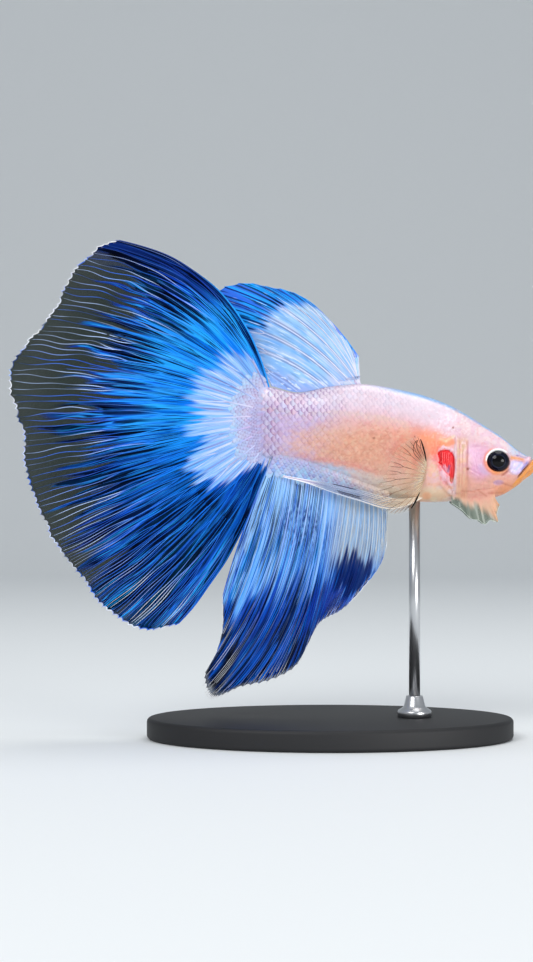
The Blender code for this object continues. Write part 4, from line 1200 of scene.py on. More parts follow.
def gill_material(name):
    """Gill filaments full of blood: soft, wet and dull red, with small bright spots of light."""
    return tinted(name, Roughness=0.38, IOR=1.38, Coat_Weight=0.12, Coat_Roughness=0.1)[0]


# ---------------------------------------------------------------- pieces


# Colours that go with those the user can choose
FIXED_COLOURS = {
    "pink": "#DAB8C5", "peach": "#DBA489", "orange": "#EE8853", "lavender": "#C7B0DA", "lilac": "#AC96C7",
    "mauve": "#856AA0", "frost": "#E1DCE9", "steel": "#859ABA", "white": "#E3D5E0", "bright": "#F6F6F6",
    "ridge": "#6AAEE5", "cream": "#D9C3A2", "cheek": "#D3A2CD", "chin": "#DF9048", "rust": "#A8502F",
    "dusk": "#7C6CA8", "lip": "#E2B8C5", "violet": "#7675BF", "cleft": "#7A4A12", "blood": "#9E1A1C",
    "rose": "#D46D77", "core": "#95BBF2", "haze": "#A8CEEC", "cyan": "#1E9EF1", "teal": "#0E3F78",
    "sky": "#589BE7", "blue": "#1565E0", "night": "#040818", "smoke": "#12211C", "ray": "#B4CAF6",
    "ash": "#8F9DB0", "ivory": "#CFCDC2",
}


def palette(context):
    """The user's colours, and the fixed ones that go with them, in linear light."""
    chosen = context.scene.betta_colours
    colours = {key: np.array(getattr(chosen, key)) for key in BettaColours.__annotations__}
    return colours | {key: linear(code) for key, code in FIXED_COLOURS.items()}


def build_skin(context):
    """Rings along the body, closest at the head, moved out along their normals by the relief, with one
    point at the snout and one at the tail stem's end."""
    around = context.scene.betta_sizes.skin_around
    tail, snout = -12.0, 29.3
    knots = (tail, 13.0, 14.5, 19.8, 22.0, snout)
    spacing = (0.24, 0.22, 0.10, 0.10, 0.085, 0.06)
    fine = np.linspace(tail, snout, 4000)
    count = np.cumsum(1 / np.interp(fine, knots, spacing))
    rings = int(count[-1] * (fine[1] - fine[0]))
    inside = np.linspace(0.0, 1.0, rings + 2)
    x = np.interp(inside, (count - count[0]) / (count[-1] - count[0]), fine)
    nose = (snout - x) < 1.0
    x[nose] = snout - (snout - x[nose]) ** 1.6
    x = x[1:-1]
    turn = np.linspace(0.0, TURN, around, endpoint=False)
    grid = body_point(x[:, None], turn[None, :])
    lengthwise = np.gradient(grid, axis=0)
    across = np.roll(grid, -1, axis=1) - np.roll(grid, 1, axis=1)
    normal = unit(np.cross(lengthwise, across))
    outwards = normal * (grid - grid.mean(axis=1, keepdims=True))
    normal = normal * np.sign(outwards.sum(axis=(1, 2)))[:, None, None]
    share = np.abs(((turn + math.pi) % TURN) - math.pi) / math.pi
    inset = 0.05 + 0.06 * scale_cover(x[:, None], share[None, :])
    out = relief(grid[..., 0], grid[..., 2], grid[..., 1]) - inset
    first, last = [[-11.98, 0.0, 44.8]], [[29.27, 0.0, float(grid[-1, :, 2].mean())]]
    skin, even = (
        np.concatenate([first, form.reshape(-1, 3), last]) for form in (grid + normal * out[..., None], grid)
    )
    tint = packed(body_tint(even, palette(context)))
    nodes = ("head", "lower_jaw", "trunk", "tail_stem", "gill_cover_right", "gill_cover_left")
    made = skin_material("wet_fish_skin")
    new_piece("skin", skin, ball_faces(len(x), around), made, "flesh", nodes, tint)


def scale_places(sizes, table):
    """Columns of scales from the tail stem's end forwards, half a scale's length apart. Rows run beside
    the flank's middle line, and every second column is shifted by half a row."""
    places, _, reach = table
    x, column, found = -11.4, 0, []
    while x < 21.5:
        scale_length = np.interp(x, (-10.0, 0.0, 8.0, 18.0), (0.98, 0.86, 0.80, 0.70)) * sizes.scale_size
        row = np.interp(x, (-10.0, 0.0, 8.0, 18.0), (1.20, 1.12, 1.04, 0.92)) * sizes.scale_size
        share = 0.5 + (np.arange(-14, 15) + 0.5 * (column % 2)) * row / np.interp(x, places, reach)
        share = share[(share > -0.02) & (share < 1.02)]
        drift = hashed(np.floor(share * 300), column, 5.0) - 0.5
        share = share + 0.14 * drift * row / np.interp(x, places, reach)
        set_back = x + 0.16 * (hashed(np.floor(share * 210), column, 10.0) - 0.5)
        found.append(stack(set_back, share, scale_length + 0 * share, row + 0 * share))
        x += scale_length / 2
        column += 1
    return np.concatenate(found)


def plates(surface, place, run, height):
    """Scales as rounded plates of five by five points on both faces. Place holds each scale's two map
    places and its size along each, run is +1 or -1 for the way its free edge points, and height gives
    how far the underside stands off the surface."""
    first, second, size_first, size_second = (place[:, i][:, None, None] for i in range(4))
    u = np.linspace(-1.0, 1.0, SCALE_POINTS)[None, :, None]
    v = np.linspace(0.0, 1.0, SCALE_POINTS)[None, None, :]
    wide = np.where(v < 0.35, 1.0, np.sqrt(np.clip(1 - ((v - 0.35) / 0.68) ** 2, 0.0, 1.0)))
    jitter = 1 + (hashed(first * 7, second * 91, 2.0) - 0.5) * 0.12
    p = first + run * (v - 0.42) * 1.72 * size_first * jitter + 0 * u
    q = second + u * wide * 0.60 * size_second
    point, normal = surface(p, q)
    off = height(p, q, point, u, v)
    both = np.stack([point + normal * each[..., None] for each in (off + SCALE_THICKNESS, off)], axis=1)
    starts = 2 * SCALE_POINTS**2 * np.arange(len(place))[:, None, None]
    faces = (sheet_faces(SCALE_POINTS, SCALE_POINTS) + starts).reshape(-1, 4).tolist()
    return both, faces, u + 0 * v, v + 0 * u


def scale_marks(paint, u, v, strength, lot):
    """A scale's own markings over the body's: each is a little lighter or darker than the next, and mauve
    near its root is a painted shadow of the scale in front. The last four numbers hold the distance from its
    middle line, the distance from its root and the strength of the dark line that its material draws round
    the free edge."""
    # painted shadow: mauve near the root, where the scale in front overlaps it
    paint.wash("mauve", 0.16 * strength * ease(v, 0.7, 0.4))
    paint.wash("frost", 0.30 * strength * ease(v, 0.5, 0.8) * ease(np.abs(u), 0.9, 0.3))
    paint.wash("haze", 0.35 * strength * ease((lot * 7.3) % 1.0, 0.6, 0.9))
    paint.wash("rose", 0.20 * strength * ease((lot * 5.1) % 1.0, 0.7, 0.9))
    tint = paint.tint * (1 + (0.05 + 0.14 * strength) * (lot - 0.5))[..., None]
    # painted shade: the edge line is weaker where u is below 0 than on the other side of the scale, as under
    # light from above
    return packed(tint, 1.0, (np.where(u < 0, 0.84, 1.0) * np.abs(u), v, strength, 1.0))


def lots(place, first, second, seed):
    """A random number for each scale, the same all over it."""
    return hashed(np.floor(place[:, 0] * first), np.floor(place[:, 1] * second), seed)[:, None, None, None]


def new_coat(name, slot, place, side, plate, tint, length, offset):
    """Scales as one piece. On its map each of them is a patch at its root's place on the unwrapped skin."""
    both, faces, u, v = plate
    root = stack(place[:, 0] / length + offset, place[:, 1] * 0.45 + (0.02 if side < 0 else 0.52))
    spot = stack(v * MAP_PATCH, u * MAP_PATCH / 2)
    uv = np.broadcast_to((root[:, None, None] + spot)[:, None], (*both.shape[:-1], 2)).reshape(-1, 2)
    made = kept(scale_material, "pearly_fish_scale")
    new_piece(name, both.reshape(-1, 3), faces, made, slot, (), tint.reshape(-1, 8), uv, "OFBake", True)


def build_scales(context, side, word):
    """Scales follow the body, their roots under the skin and their free edges standing off by the lift."""
    sizes = context.scene.betta_sizes
    colours = palette(context)
    table = side_table()
    place = scale_places(sizes, table)
    ragged = -10.3 + 1.5 * hashed(np.floor(place[:, 1] * 37), 0.0, 8.0)
    place = place[(scale_cover(place[:, 0], place[:, 1]) > 0.4) & (place[:, 0] > ragged)]
    reach = np.interp(place[:, 0], table[0], table[2])
    place[:, 3] /= reach
    rear = ease(place[:, 0], 7.0, -4.0)[:, None, None]

    def surface(x, share):
        x = np.clip(x + 0 * share, -11.94, 24.0)
        turn = side_turn(x, share + 0 * x, table)
        point = body_point(x, turn)
        length_way = body_point(x + 1e-3, turn) - point
        normal = unit(np.cross(length_way, body_point(x, turn + 1e-3) - point))
        outwards = point - stack(x, 0 * x, body_section(x)[0])
        normal = normal * np.sign((normal * outwards).sum(-1, keepdims=True))
        point[..., 1] *= side
        normal[..., 1] *= side
        return point, normal

    def height(x, share, point, u, v):
        lift = (0.15 + 0.85 * rear) * sizes.scale_lift / MM
        base = relief(point[..., 0], point[..., 2], point[..., 1]) - 0.112
        return base + (0.032 + lift) * v + 0.004 * (1 - u**2)

    plate = plates(surface, place, -1, height)
    both, _, u, v = plate
    paint = Paint((), colours, body_tint(both, colours))
    x, share = place[:, 0], place[:, 1]
    strength = 0.28 + 0.72 * np.maximum(ease(share, 0.44, 0.28), ease(x, -5.5, -7.5))
    strength = strength * (0.22 + 0.54 * ease(x, 6.0, -2.0)) * ease(x, 16.0, 9.0)
    strength = strength * (0.45 + 0.9 * noise(x * 0.9, share * 17.0, 9.0))
    tint = scale_marks(paint, u, v, strength[:, None, None, None], lots(place, 9, 77, 6.0))
    new_coat(f"scales_{word}", "flesh", place, side, plate, tint, 42.0, 0.29)


def build_root_scales(context, side, word):
    """Small scales that run from the body on to the roots of the tail fin, the lower fin and the back
    fin."""
    colours = palette(context)
    for name, slot, fin, ends, first, last, long, wide in (
        ("tail_root_scales", "caudal_fin", caudal_point, (0.03, 0.97), -2.4, 2.1, 0.68, 0.036),
        ("lower_fin_root_scales", "anal_fin", anal_point, (0.02, 0.98), -0.95, 2.2, 0.64, 0.036),
        ("back_fin_root_scales", "dorsal_fin", dorsal_point, (0.03, 0.70), -0.2, 0.4, 0.5, 0.06),
    ):
        below, behind = slot == "anal_fin", slot == "caudal_fin"
        found = []
        for column, run in enumerate(np.arange(first, last, long / 2)):
            a = np.arange(ends[0], ends[1], wide) + 0.5 * wide * (column % 2)
            found.append(stack(run + 0 * a, a, long + 0 * a, wide + 0 * a))
        place = np.concatenate(found)
        place = place[place[:, 0] < last * (0.45 + 0.55 * hashed(np.floor(place[:, 1] * 31), 0.0, 3.0))]

        def surface(run, a, fin=fin):
            chord = np.linalg.norm(fin(a, 1 + 0 * a) - fin(a, 0 * a), axis=-1)
            t = run / chord
            point = fin(a, t)
            normal = unit(np.cross(fin(a + 1e-3, t) - point, fin(a, t + 1e-3) - point))
            return point, normal * np.sign(normal[..., 1:2] * side)

        if below:
            middle = surface(place[:, 0], place[:, 1])[0][:, 0]
            place = place[place[:, 0] < last * mix_number(1.0, 0.15, ease(middle, -1.0, 5.0))]
        if behind:
            place = place[place[:, 0] < last * mix_number(1.0, 0.05, ease(place[:, 1], 0.80, 0.88))]
            place = place[(place[:, 0] > -0.7) | (surface(place[:, 0], place[:, 1])[0][:, 0] < -9.6)]

        def height(run, a, point, u, v, last=last, below=below, behind=behind):
            stand = 0.01 + 0.055 * v + 0.01 * (1 - u**2) - 0.5 * ease(run, 1.05 * last, 1.7 * last)
            if behind:
                return stand + np.maximum(body_side(point[..., 0], point[..., 2]) - 0.09, 0.0)
            # the small muscles that move the lower fin swell its root out to the flank
            swell = smooth(np.clip(run, -1.6, 2.4), (-1.6, -0.6, 0.0, 1.0, 2.4), (1.1, 1.15, 0.9, 0.3, 0.0))
            flank = body_side(point[..., 0], point[..., 2]) - 0.2 + 0.2 * ease(run, -1.3, -0.5)
            return stand + below * np.maximum(swell * body_section(point[..., 0])[2] / 2.6, flank)

        plate = plates(surface, place, 1, height)
        both, _, u, v = plate
        run = np.broadcast_to(place[:, 0][:, None, None, None], both.shape[:-1])
        speck = lots(place, 523, 131, 4.0)
        near = ease(run, last, 0.0)
        x, z = both[..., 0], both[..., 2]
        paint = Paint(x.shape, colours, "haze")
        paint.wash("lavender", (0.25 + 0.5 * near) * ease(speck, 0.1, 0.7))
        paint.wash("sky", 0.6 * below * ease(speck, 0.65, 0.9) * ease(x, 2.0, -3.0))
        paint.wash("ivory", 0.7 * below * ease(x, 1.0, 6.0))
        paint.wash("frost", 0.5 * ease(noise(x * 2.2, z * 2.2, 1.0), 0.5, 0.8))
        if below:
            paint.tint *= mix_number(np.ones(3), ROOT_SHADE, ease(x, 2.0, -3.0)[..., None])
            paint.wash(body_tint(both, colours), 1 - ease(run + 0.5 * (speck - 0.5), -0.8, 0.1))
        if behind:
            stem = mixed(body_tint(both, colours), colours["lavender"], 0.4)
            paint.wash(stem, 1 - ease(run + 1.6 * (speck - 0.5), -1.6, 1.2))
            paint.tint *= np.array([0.82, 0.92, 0.98])
        tint = scale_marks(paint, u, v, (0.25 + 0.25 * near) * (0.4 + 0.9 * speck), lots(place, 919, 77, 6.0))
        new_coat(f"{name}_{word}", slot, place, side, plate, tint, 36.0, 0.1)


def build_eye(context, side, word):
    """A flattened ball: rings of points from the front pole to the back pole. The iris is a low ring
    round the pupil."""
    rings, around = 60, 72
    down = np.linspace(0.0, math.pi, rings)[:, None]
    turn = np.linspace(0.0, TURN, around, endpoint=False)[None, :]
    out, front = np.sin(down), np.cos(down) > 0
    bulge = np.cos(down) + 0.05 * ease(out, 0.75, 0.3) * front + 0.02 * bump(out, 0.66, 0.05) * front
    x = EYE_CENTRE[0] + EYE_RADII[0] * out * np.cos(turn)
    z = EYE_CENTRE[2] + EYE_RADII[2] * out * np.sin(turn)
    y = side * (EYE_CENTRE[1] + EYE_RADII[1] * bulge + 0 * turn)
    points = stack(*np.broadcast_arrays(x, y, z))
    points = np.concatenate([points[0, :1], points[1:-1].reshape(-1, 3), points[-1, :1]])
    x, z = points[:, 0], points[:, 2]
    far = eye_distance(x, z)
    bearing = np.arctan2(z - EYE_CENTRE[2], x - EYE_CENTRE[0])
    fibres = noise(bearing * 14, far * 3, 51.0)
    paint = Paint(x.shape, palette(context), "eye")
    paint.wash("#0E1230", 0.45 * ease(far, 0.58, 0.64) * ease(far, 0.97, 0.90) * (0.4 + 0.6 * fibres))
    paint.wash("#4A5578", 0.25 * bump(far, 0.6, 0.025))
    made = kept(eye_material, "wet_black_eye")
    faces = ball_faces(rings - 2, around)
    new_piece(f"eyeball_{word}", points, faces, made, "eye", (f"eye_{word}",), packed(paint.tint))


def build_gill(context, side, word):
    """The red gill in its opening: a cushion that follows the body's side, highest in the middle and dipping
    under the skin all round, with filament ridges, painted light and shade across them, a painted shadow
    along the gill cover's edge, and a paler, greyer lower part."""
    colours = palette(context)
    share = np.linspace(0.0, 1.0, 70)[:, None]
    z = np.linspace(35.6, 41.3, 130)[None, :]
    rear, front = gill_edges(z)
    x = rear - 0.35 + (front - rear + 0.65) * share
    z = z + 0 * x
    swell = span(share, 0.0, 0.3, 1.0, 0.75) * span(z, 35.7, 36.5, 41.2, 40.5)
    ridge = np.abs(np.sin(math.pi * (x * 3.4 + 0.5 * np.sin(z * 1.3))))
    lump = noise(x * 1.7, z * 1.1, 91.0) - 0.5
    front = body_side(x, z) - 0.62 + (0.46 + 0.05 * ridge + 0.16 * lump) * swell
    back = body_side(x, z) - 1.0
    points = np.concatenate([stack(x, side * y, z).reshape(-1, 3) for y in (front, back)])
    paint = Paint(x.shape, colours, "gill")
    paint.wash("blood", 0.5 * bump(x, 15.5, 0.16) * ease(z, 37.6, 38.6))
    # painted shadow of the gill cover: darker red along the opening's front edge
    paint.wash("blood", 0.35 * ease(x, 16.8, 17.2) * ease(z, 39.6, 38.6))
    pale = oval(x, z, (16.1, 37.9), (0.55, 0.9), 22) + 0.6 * (noise(x * 3, z * 3, 92.0) - 0.5)
    paint.wash(colours["lip"] * np.array([0.95, 0.7, 0.75]), 0.7 * ease(pale, 1.2, 0.6))
    paint.wash(colours["peach"] * 0.8, 0.7 * ease(z, 37.2, 36.4))
    for colour, share, width, line in (
        (colours["dusk"] * 0.6, 0.7, 0.17, ((16.5, 37.9), (16.65, 38.6))),
        ("cleft", 0.75, 0.13, ((16.75, 36.3), (16.65, 37.3))),
    ):
        paint.wash(colour, share * bump(near_line(x, z, *line)[0], 0, width))
    # painted light and shade: lighter on the filament ridges, darker between them
    tint = np.tile(packed(paint.tint * (0.84 + 0.14 * ridge)[..., None]).reshape(-1, 4), (2, 1))
    made = kept(gill_material, "wet_gill_filaments")
    faces = sheet_faces(*x.shape).tolist()
    new_piece(f"gill_comb_{word}", points, faces, made, "gill", (f"gill_{word}",), tint)


def fin_sheet(name, point, tint, size, made, slot, nodes, thickness, notch, notches, root):
    """The film of a fin as a thin closed sheet. Its edge is pulled in by the notch between ray tips."""
    a = np.linspace(0.0, 1.0, size[0])[:, None]
    t = np.linspace(root, 1.0, size[1])[None, :]
    edge = 1 - notch * np.abs(np.cos(math.pi * notches * a))
    t = root + (t - root) / (1 - root) * (edge - root)
    a = a + 0 * t
    points, faces = leaf(point(a, t), thickness * (1 - 0.5 * np.clip(t, 0, 1)))
    colour, uv = tint(a, t), stack(a, t)
    both = (np.tile(each.reshape(-1, each.shape[-1]), (2, 1)) for each in (colour, uv))
    return new_piece(name, points, faces, made, slot, nodes, *both)


def fin_rays(name, point, tint, paths, made, slot, sides):
    """All rays of a fin, and what edges it, as joined tubes."""
    parts = []
    for a, t, radius in paths:
        points, faces = tubes(point, a, t, radius, sides)
        colour, uv = (
            np.repeat(each.reshape(-1, each.shape[-1]), sides, axis=0) for each in (tint(a, t), stack(a, t))
        )
        parts.append((points, faces, np.concatenate([colour, uv], axis=-1)))
    points, faces, marks = join(*parts)
    return new_piece(name, points, faces, made, slot, (), marks[:, :4], marks[:, 4:])


def hem(notch, notches, radius, steps):
    """The path along a fin's edge, following its notches."""
    a = np.linspace(0.001, 0.999, steps)[None, :]
    t = 1 - notch * np.abs(np.cos(math.pi * notches * a))
    return [(a, t, np.full(a.shape, radius))]


def edge_rays(inset, reach, steps, radius, loss):
    """Thicker rays down a fin's first and last edge, thinner by the loss at their tips."""
    t = np.linspace(-0.03, reach, steps)[None, :]
    return [(np.full(t.shape, a), t, radius - loss * t) for a in (inset, 1 - inset)]


def build_fin(
    names, slot, node_name, point, tints, looks, size, thickness, notches, paths, root=0.0, sides=6
):
    """A fin as two pieces, its film and its rays. Names, tints and looks hold one for each of them, and
    the film replaces the node."""
    film, rays = kept(fin_material, *looks[0]), kept(ray_material, looks[1])
    fin_sheet(names[0], point, tints[0], size, film, slot, (node_name,), thickness, *notches, root)
    fin_rays(names[1], point, tints[1], paths, rays, slot, sides)


def large_fin(name, slot, point, tint, looks, size, notches, paths):
    """One of the three fins in the body's middle plane. Its root runs on under the skin."""
    names, tints = (f"{name}_film", f"{name}_rays"), (tint, partial(tint, ray=True))
    build_fin(names, slot, slot, point, tints, looks, size, 0.09, notches, paths, -0.03)


def build_caudal(context):
    """The tail fin: rays that fork three times and a finer one between every two, which ends in the
    middle of the fin's upper part and runs to the edge in its lower part."""
    tip = context.scene.betta_sizes.ray_tip / MM
    notches = (0.010, TAIL_TIPS)
    paths = branches(TAIL_RAYS // 2, (0.12, 0.36, 0.58), 1.008, 0.15, tip, 26)
    number = np.arange(1, TAIL_TIPS)[:, None]
    a = number / TAIL_TIPS
    finish = mix_number(0.66 + 0.12 * hashed(number, 0.0, 26.0), 0.985, ease(a, 0.62, 0.70))
    t = 0.24 + (finish - 0.24) * np.linspace(0.0, 1.0, 36)[None, :]
    swell = np.sin(math.pi * np.clip((t - 0.235) / (finish - 0.22), 0.0, 1.0))
    paths.append((a + 0 * t, t, 0.055 * swell**0.4 + 0.008))
    paths += hem(*notches, 0.075, 1400) + edge_rays(0.0015, 0.995, 70, 0.13, 0.07)
    tint = partial(caudal_tint, colours=palette(context))
    looks = (("blue_tail_film",), "pale_tail_rays")
    large_fin("tail", "caudal_fin", caudal_point, tint, looks, (640, 74), notches, paths)


def build_dorsal(context):
    """The back fin: ten rays that fork once, near its edge."""
    tip = context.scene.betta_sizes.ray_tip / MM
    notches = (0.014, 2 * BACK_RAYS)
    paths = branches(BACK_RAYS, (0.66,), 1.01, 0.115, tip, 22)
    paths += hem(*notches, 0.045, 400) + edge_rays(0.003, 0.99, 50, 0.1, 0.05)
    tint = partial(dorsal_tint, colours=palette(context))
    looks = (("pale_back_fin_film", 0.5, 70.0, 40, "#E6F0FF"), "white_back_fin_rays")
    large_fin("back_fin", "dorsal_fin", dorsal_point, tint, looks, (420, 80), notches, paths)


def build_anal(context):
    """The lower fin: rays that fork once, and a fine one between every two."""
    tip = context.scene.betta_sizes.ray_tip / MM
    notches = (0.010, LOWER_TIPS)
    paths = branches(LOWER_RAYS, (0.62,), 1.01, 0.1, tip, 24)
    number = np.arange(1, LOWER_TIPS)[:, None]
    t = np.linspace(0.10, 0.93, 40)[None, :] + 0.05 * hashed(number, 0.0, 27.0)
    paths.append((number / LOWER_TIPS + 0 * t, t, np.full(t.shape, 0.045)))
    paths += hem(*notches, 0.045, 800) + edge_rays(0.002, 0.99, 60, 0.1, 0.05)
    tint = partial(anal_tint, colours=palette(context))
    looks = (("blue_lower_fin_film", 0.5, 300.0, 108, "#86BEFA"), "pale_lower_fin_rays")
    large_fin("lower_fin", "anal_fin", anal_point, tint, looks, (420, 90), notches, paths)


def build_pectoral(context, side, word):
    """A clear paddle, cream at its fleshy root, with thin brown rays. The first and the last are black."""
    colours = palette(context)
    point = pectoral_point(side)

    def film(a, t):
        paint = Paint(a.shape, colours, "cream")
        streak = noise_at(a, t, 16, 4, 66.0)
        paint.wash("ivory", 0.6 * ease(streak, 0.4, 0.7))
        alpha = 0.03 + 0.35 * ease(t, 0.30, 0.02) + 0.04 * ease(t, 0.9, 1.0)
        return packed(paint.tint, alpha * (0.6 + 0.8 * streak))

    def bone(a, t):
        paint = Paint(a.shape, colours, "#A9826A")
        lot = hashed(np.floor(a * 26), 0 * t, 64.0)
        paint.wash("#3A1E16", 0.85 * ease(lot, 0.4, 0.7) * ease(t, 0.25, 0.5))
        paint.wash("cream", 0.7 * ease(t, 0.42, 0.10))
        paint.wash("#3A1E16", 0.85 * ease(a, 0.22, 0.17) * span(t, 0.25, 0.4, 0.95, 0.85))
        ends = np.maximum(ease(a, 0.025, 0.01), ease(a, 0.975, 0.99))
        paint.wash("#0E0806", ends * span(t, 0.05, 0.15, 0.97, 0.85))
        return packed(paint.tint)

    paths = branches(13, (0.6,), 0.97, 0.06, 0.026, 16, -0.05)
    t = np.linspace(0.02, 0.86, 30)[None, :]
    for a in (0.005, 0.995):
        paths.append((np.full(t.shape, a), t, 0.125 * np.sin(math.pi * (0.12 + 0.8 * t))))
    for fold in (0.07, 0.13):
        paths.append((0.02 + fold * np.sin(math.pi * t / 0.88) ** 0.7, t, np.full(t.shape, 0.05)))
    names = (f"side_fin_film_{word}", f"side_fin_rays_{word}")
    looks = (("clear_side_fin_film", 0.35, 60.0, 13), "brown_side_fin_rays")
    place = ("pectoral_fin", f"pectoral_fin_{word}")
    build_fin(names, *place, point, (film, bone), looks, (130, 40), 0.07, (0.02, 26), paths)


def build_pelvic(context, side, word):
    """A folded blade: white spines towards its tip, and a clear middle with dark streaks."""
    colours = palette(context)
    point = pelvic_point(side)

    def film(a, t):
        white = ease(point(a, t)[..., 0], -2.0, -4.5)
        streak = noise_at(a, t, 9, 7, 61.0)
        paint = Paint(a.shape, colours, "frost")
        paint.wash("haze", 0.6 * ease(streak, 0.4, 0.7))
        paint.wash("steel", 0.6 * (1 - white))
        paint.wash("cream", 0.6 * ease(t, 0.42, 0.1))
        paint.wash("dusk", 0.6 * white * bump(a, 0.45, 0.24))
        paint.wash("dusk", 0.5 * ease(streak, 0.45, 0.6) * bump(t, 0.57, 0.09))
        return packed(paint.tint, 0.97 - 0.70 * (1 - white) * ease(a, 0.02, 0.12))

    def bone(a, t):
        white = ease(point(a, t)[..., 0], -0.4, -3.4)
        dim = Paint(a.shape, colours, "steel")
        dim.wash("cream", ease(t, 0.5, 0.3))
        paint = Paint(a.shape, colours, "bright")
        paint.wash(colours["lilac"] * 0.9, 0.85 * bump(a, 0.45, 0.24))
        paint.wash(dim.tint, (1 - white) * mix_number(0.85, 0.5, ease(a, 0.9, 0.97)))
        dark = bump(t, 0.575 - 0.07 * a, 0.085) * ease(a, 0.92, 0.85)
        dark = dark * np.maximum(ease(a, 0.10, 0.07), ease(a, 0.58, 0.62))
        paint.wash("#0C0E2C", 0.95 * ease(dark, 0.3, 0.5))
        return packed(paint.tint)

    t = np.linspace(0.0, 1.0, 80)[None, :]
    paths = []
    for a in (0.05, 0.2, 0.35, 0.5, 0.64, 0.78, 0.97):
        paths.append((np.full(t.shape, a), t, (0.10 if a > 0.9 else 0.085) * (1 - 0.5 * t)))
    names = (f"belly_fin_film_{word}", f"belly_fin_spines_{word}")
    looks = (("pale_belly_fin_film", 0.4, 14.0, 5), "white_belly_fin_spines")
    place = ("pelvic_fin", f"pelvic_fin_{word}")
    build_fin(names, *place, point, (film, bone), looks, (26, 120), 0.06, (0.0, 1), paths, sides=8)


def build_membrane(context, side, word):
    """The gill membrane's frill: skin where it leaves the throat, then clear grey-green film with
    folds, and a pale hem."""
    colours = palette(context)
    point = membrane_point(side)

    def film(a, t):
        paint = Paint(a.shape, colours, "#7D877C")
        paint.wash("#5E6A62", 0.4 * noise_at(a, t, 8, 3, 71.0, 0.35, 0.65))
        paint.wash("#BFC4BA", 0.6 * noise_at(a, t, 22, 2.5, 72.0, 0.5, 0.75))
        flesh = mixed(body_tint(point(a, t), colours), colours["cream"], 0.35 * ease(t, 0.2, 0.5))
        fold = noise_at(a, t, 22, 1.5, 73.0)
        reach = 0.46 + 0.50 * ease(a, 0.50, 0.78) + 0.22 * (fold - 0.5)
        fleshy = ease(t, reach + 0.22, reach - 0.16)
        paint.wash(flesh, fleshy)
        clear = 0.60 + 0.34 * fleshy + 0.2 * ease(fold, 0.5, 0.75)
        return packed(paint.tint, mix_number(clear, 1.0, ease(t, 0.45, 0.3)))

    def edge(a, t):
        return packed(Paint(a.shape, colours, "#CBD6CC").tint)

    names = (f"gill_frill_{word}", f"gill_frill_hem_{word}")
    looks = (("clear_gill_frill", 0.35, 30.0, 9), "pale_gill_frill_hem")
    place = ("gill_membrane", f"gill_membrane_{word}")
    paths = hem(0.0, 1, 0.035, 200)
    build_fin(names, *place, point, (film, edge), looks, (160, 50), 0.1, (0.0, 1), paths)


def turned(profile, sides=96, centre=0.0):
    """A turned form round an upright line at x = centre: rings of points whose radius and height the
    profile gives, closed at both ends."""
    profile = np.asarray(profile, float)
    turn = np.arange(sides) * TURN / sides
    radius, z = profile[:, :1], profile[:, 1:] + 0 * turn
    points = stack(centre + radius * np.cos(turn), radius * np.sin(turn), z).reshape(-1, 3)
    number = np.arange(len(points)).reshape(-1, sides)
    return points, ring_faces(len(profile), sides) + [number[0].tolist(), number[-1].tolist()]


def build_stand(context):
    """An oval base with rounded edges, a turned ferrule and a plain rod up to the belly."""
    length, width, height = BASE_SIZE
    corner = 0.6
    bend = np.linspace(0.0, math.pi / 2, 9)
    side, top = length / 2 - corner, height - corner
    low = [(side + corner * math.sin(b), corner - corner * math.cos(b)) for b in bend]
    high = [(side + corner * math.cos(b), top + corner * math.sin(b)) for b in bend]
    points, faces = turned(low + high, 192)
    # The rim keeps the same rounding all round: the oval's width is changed, not its edge
    turn = np.arctan2(points[:, 1], points[:, 0])
    inward = length / 2 - np.hypot(points[:, 0], points[:, 1])
    oval_x, oval_y = length / 2 * np.cos(turn), width / 2 * np.sin(turn)
    across = unit(stack(np.cos(turn) / (length / 2), np.sin(turn) / (width / 2)))
    points[:, 0] = oval_x - inward * across[:, 0]
    points[:, 1] = oval_y - inward * across[:, 1]
    # Powder coat on steel: an even satin black with a very fine orange peel
    colour = (*context.scene.betta_colours.stand_paint, 1.0)
    paint, tree, shader = material("black_powder_coat", Roughness=0.6, IOR=1.45, Base_Color=colour)
    roughen(tree, shader, 0.5, 1.0, 0.15, 0.02)
    new_piece("stand_base_painted", points, faces, paint, "stand_paint", ("stand_base",))
    # Drawn and turned steel: a satin gloss that spreads each lamp's light along the rod
    colour = (*linear("#C9CACC"), 1.0)
    steel = material("satin_turned_steel", Roughness=0.28, Metallic=1.0, Base_Color=colour)[0]
    ferrule = ((2.4, 0.0), (2.4, 0.8), (2.34, 0.95), (1.75, 1.35), (1.5, 1.65), (1.2, 2.9), (1.14, 3.02))
    ferrule = (*ferrule, (0.85, 3.04))
    points, faces = turned([(r, height + h) for r, h in ferrule], 96, ROD_X)
    new_piece("stand_ferrule_turned", points, faces, steel, "stand_steel", ("stand_ferrule",))
    middle, half_height, _ = body_section(np.array([ROD_X]))
    top = float((middle - half_height)[0]) + 0.35
    points, faces = turned(((ROD_RADIUS, height + 3.0), (ROD_RADIUS, top)), 64, ROD_X)
    new_piece("stand_rod_drawn", points, faces, steel, "stand_steel", ("stand_rod",))


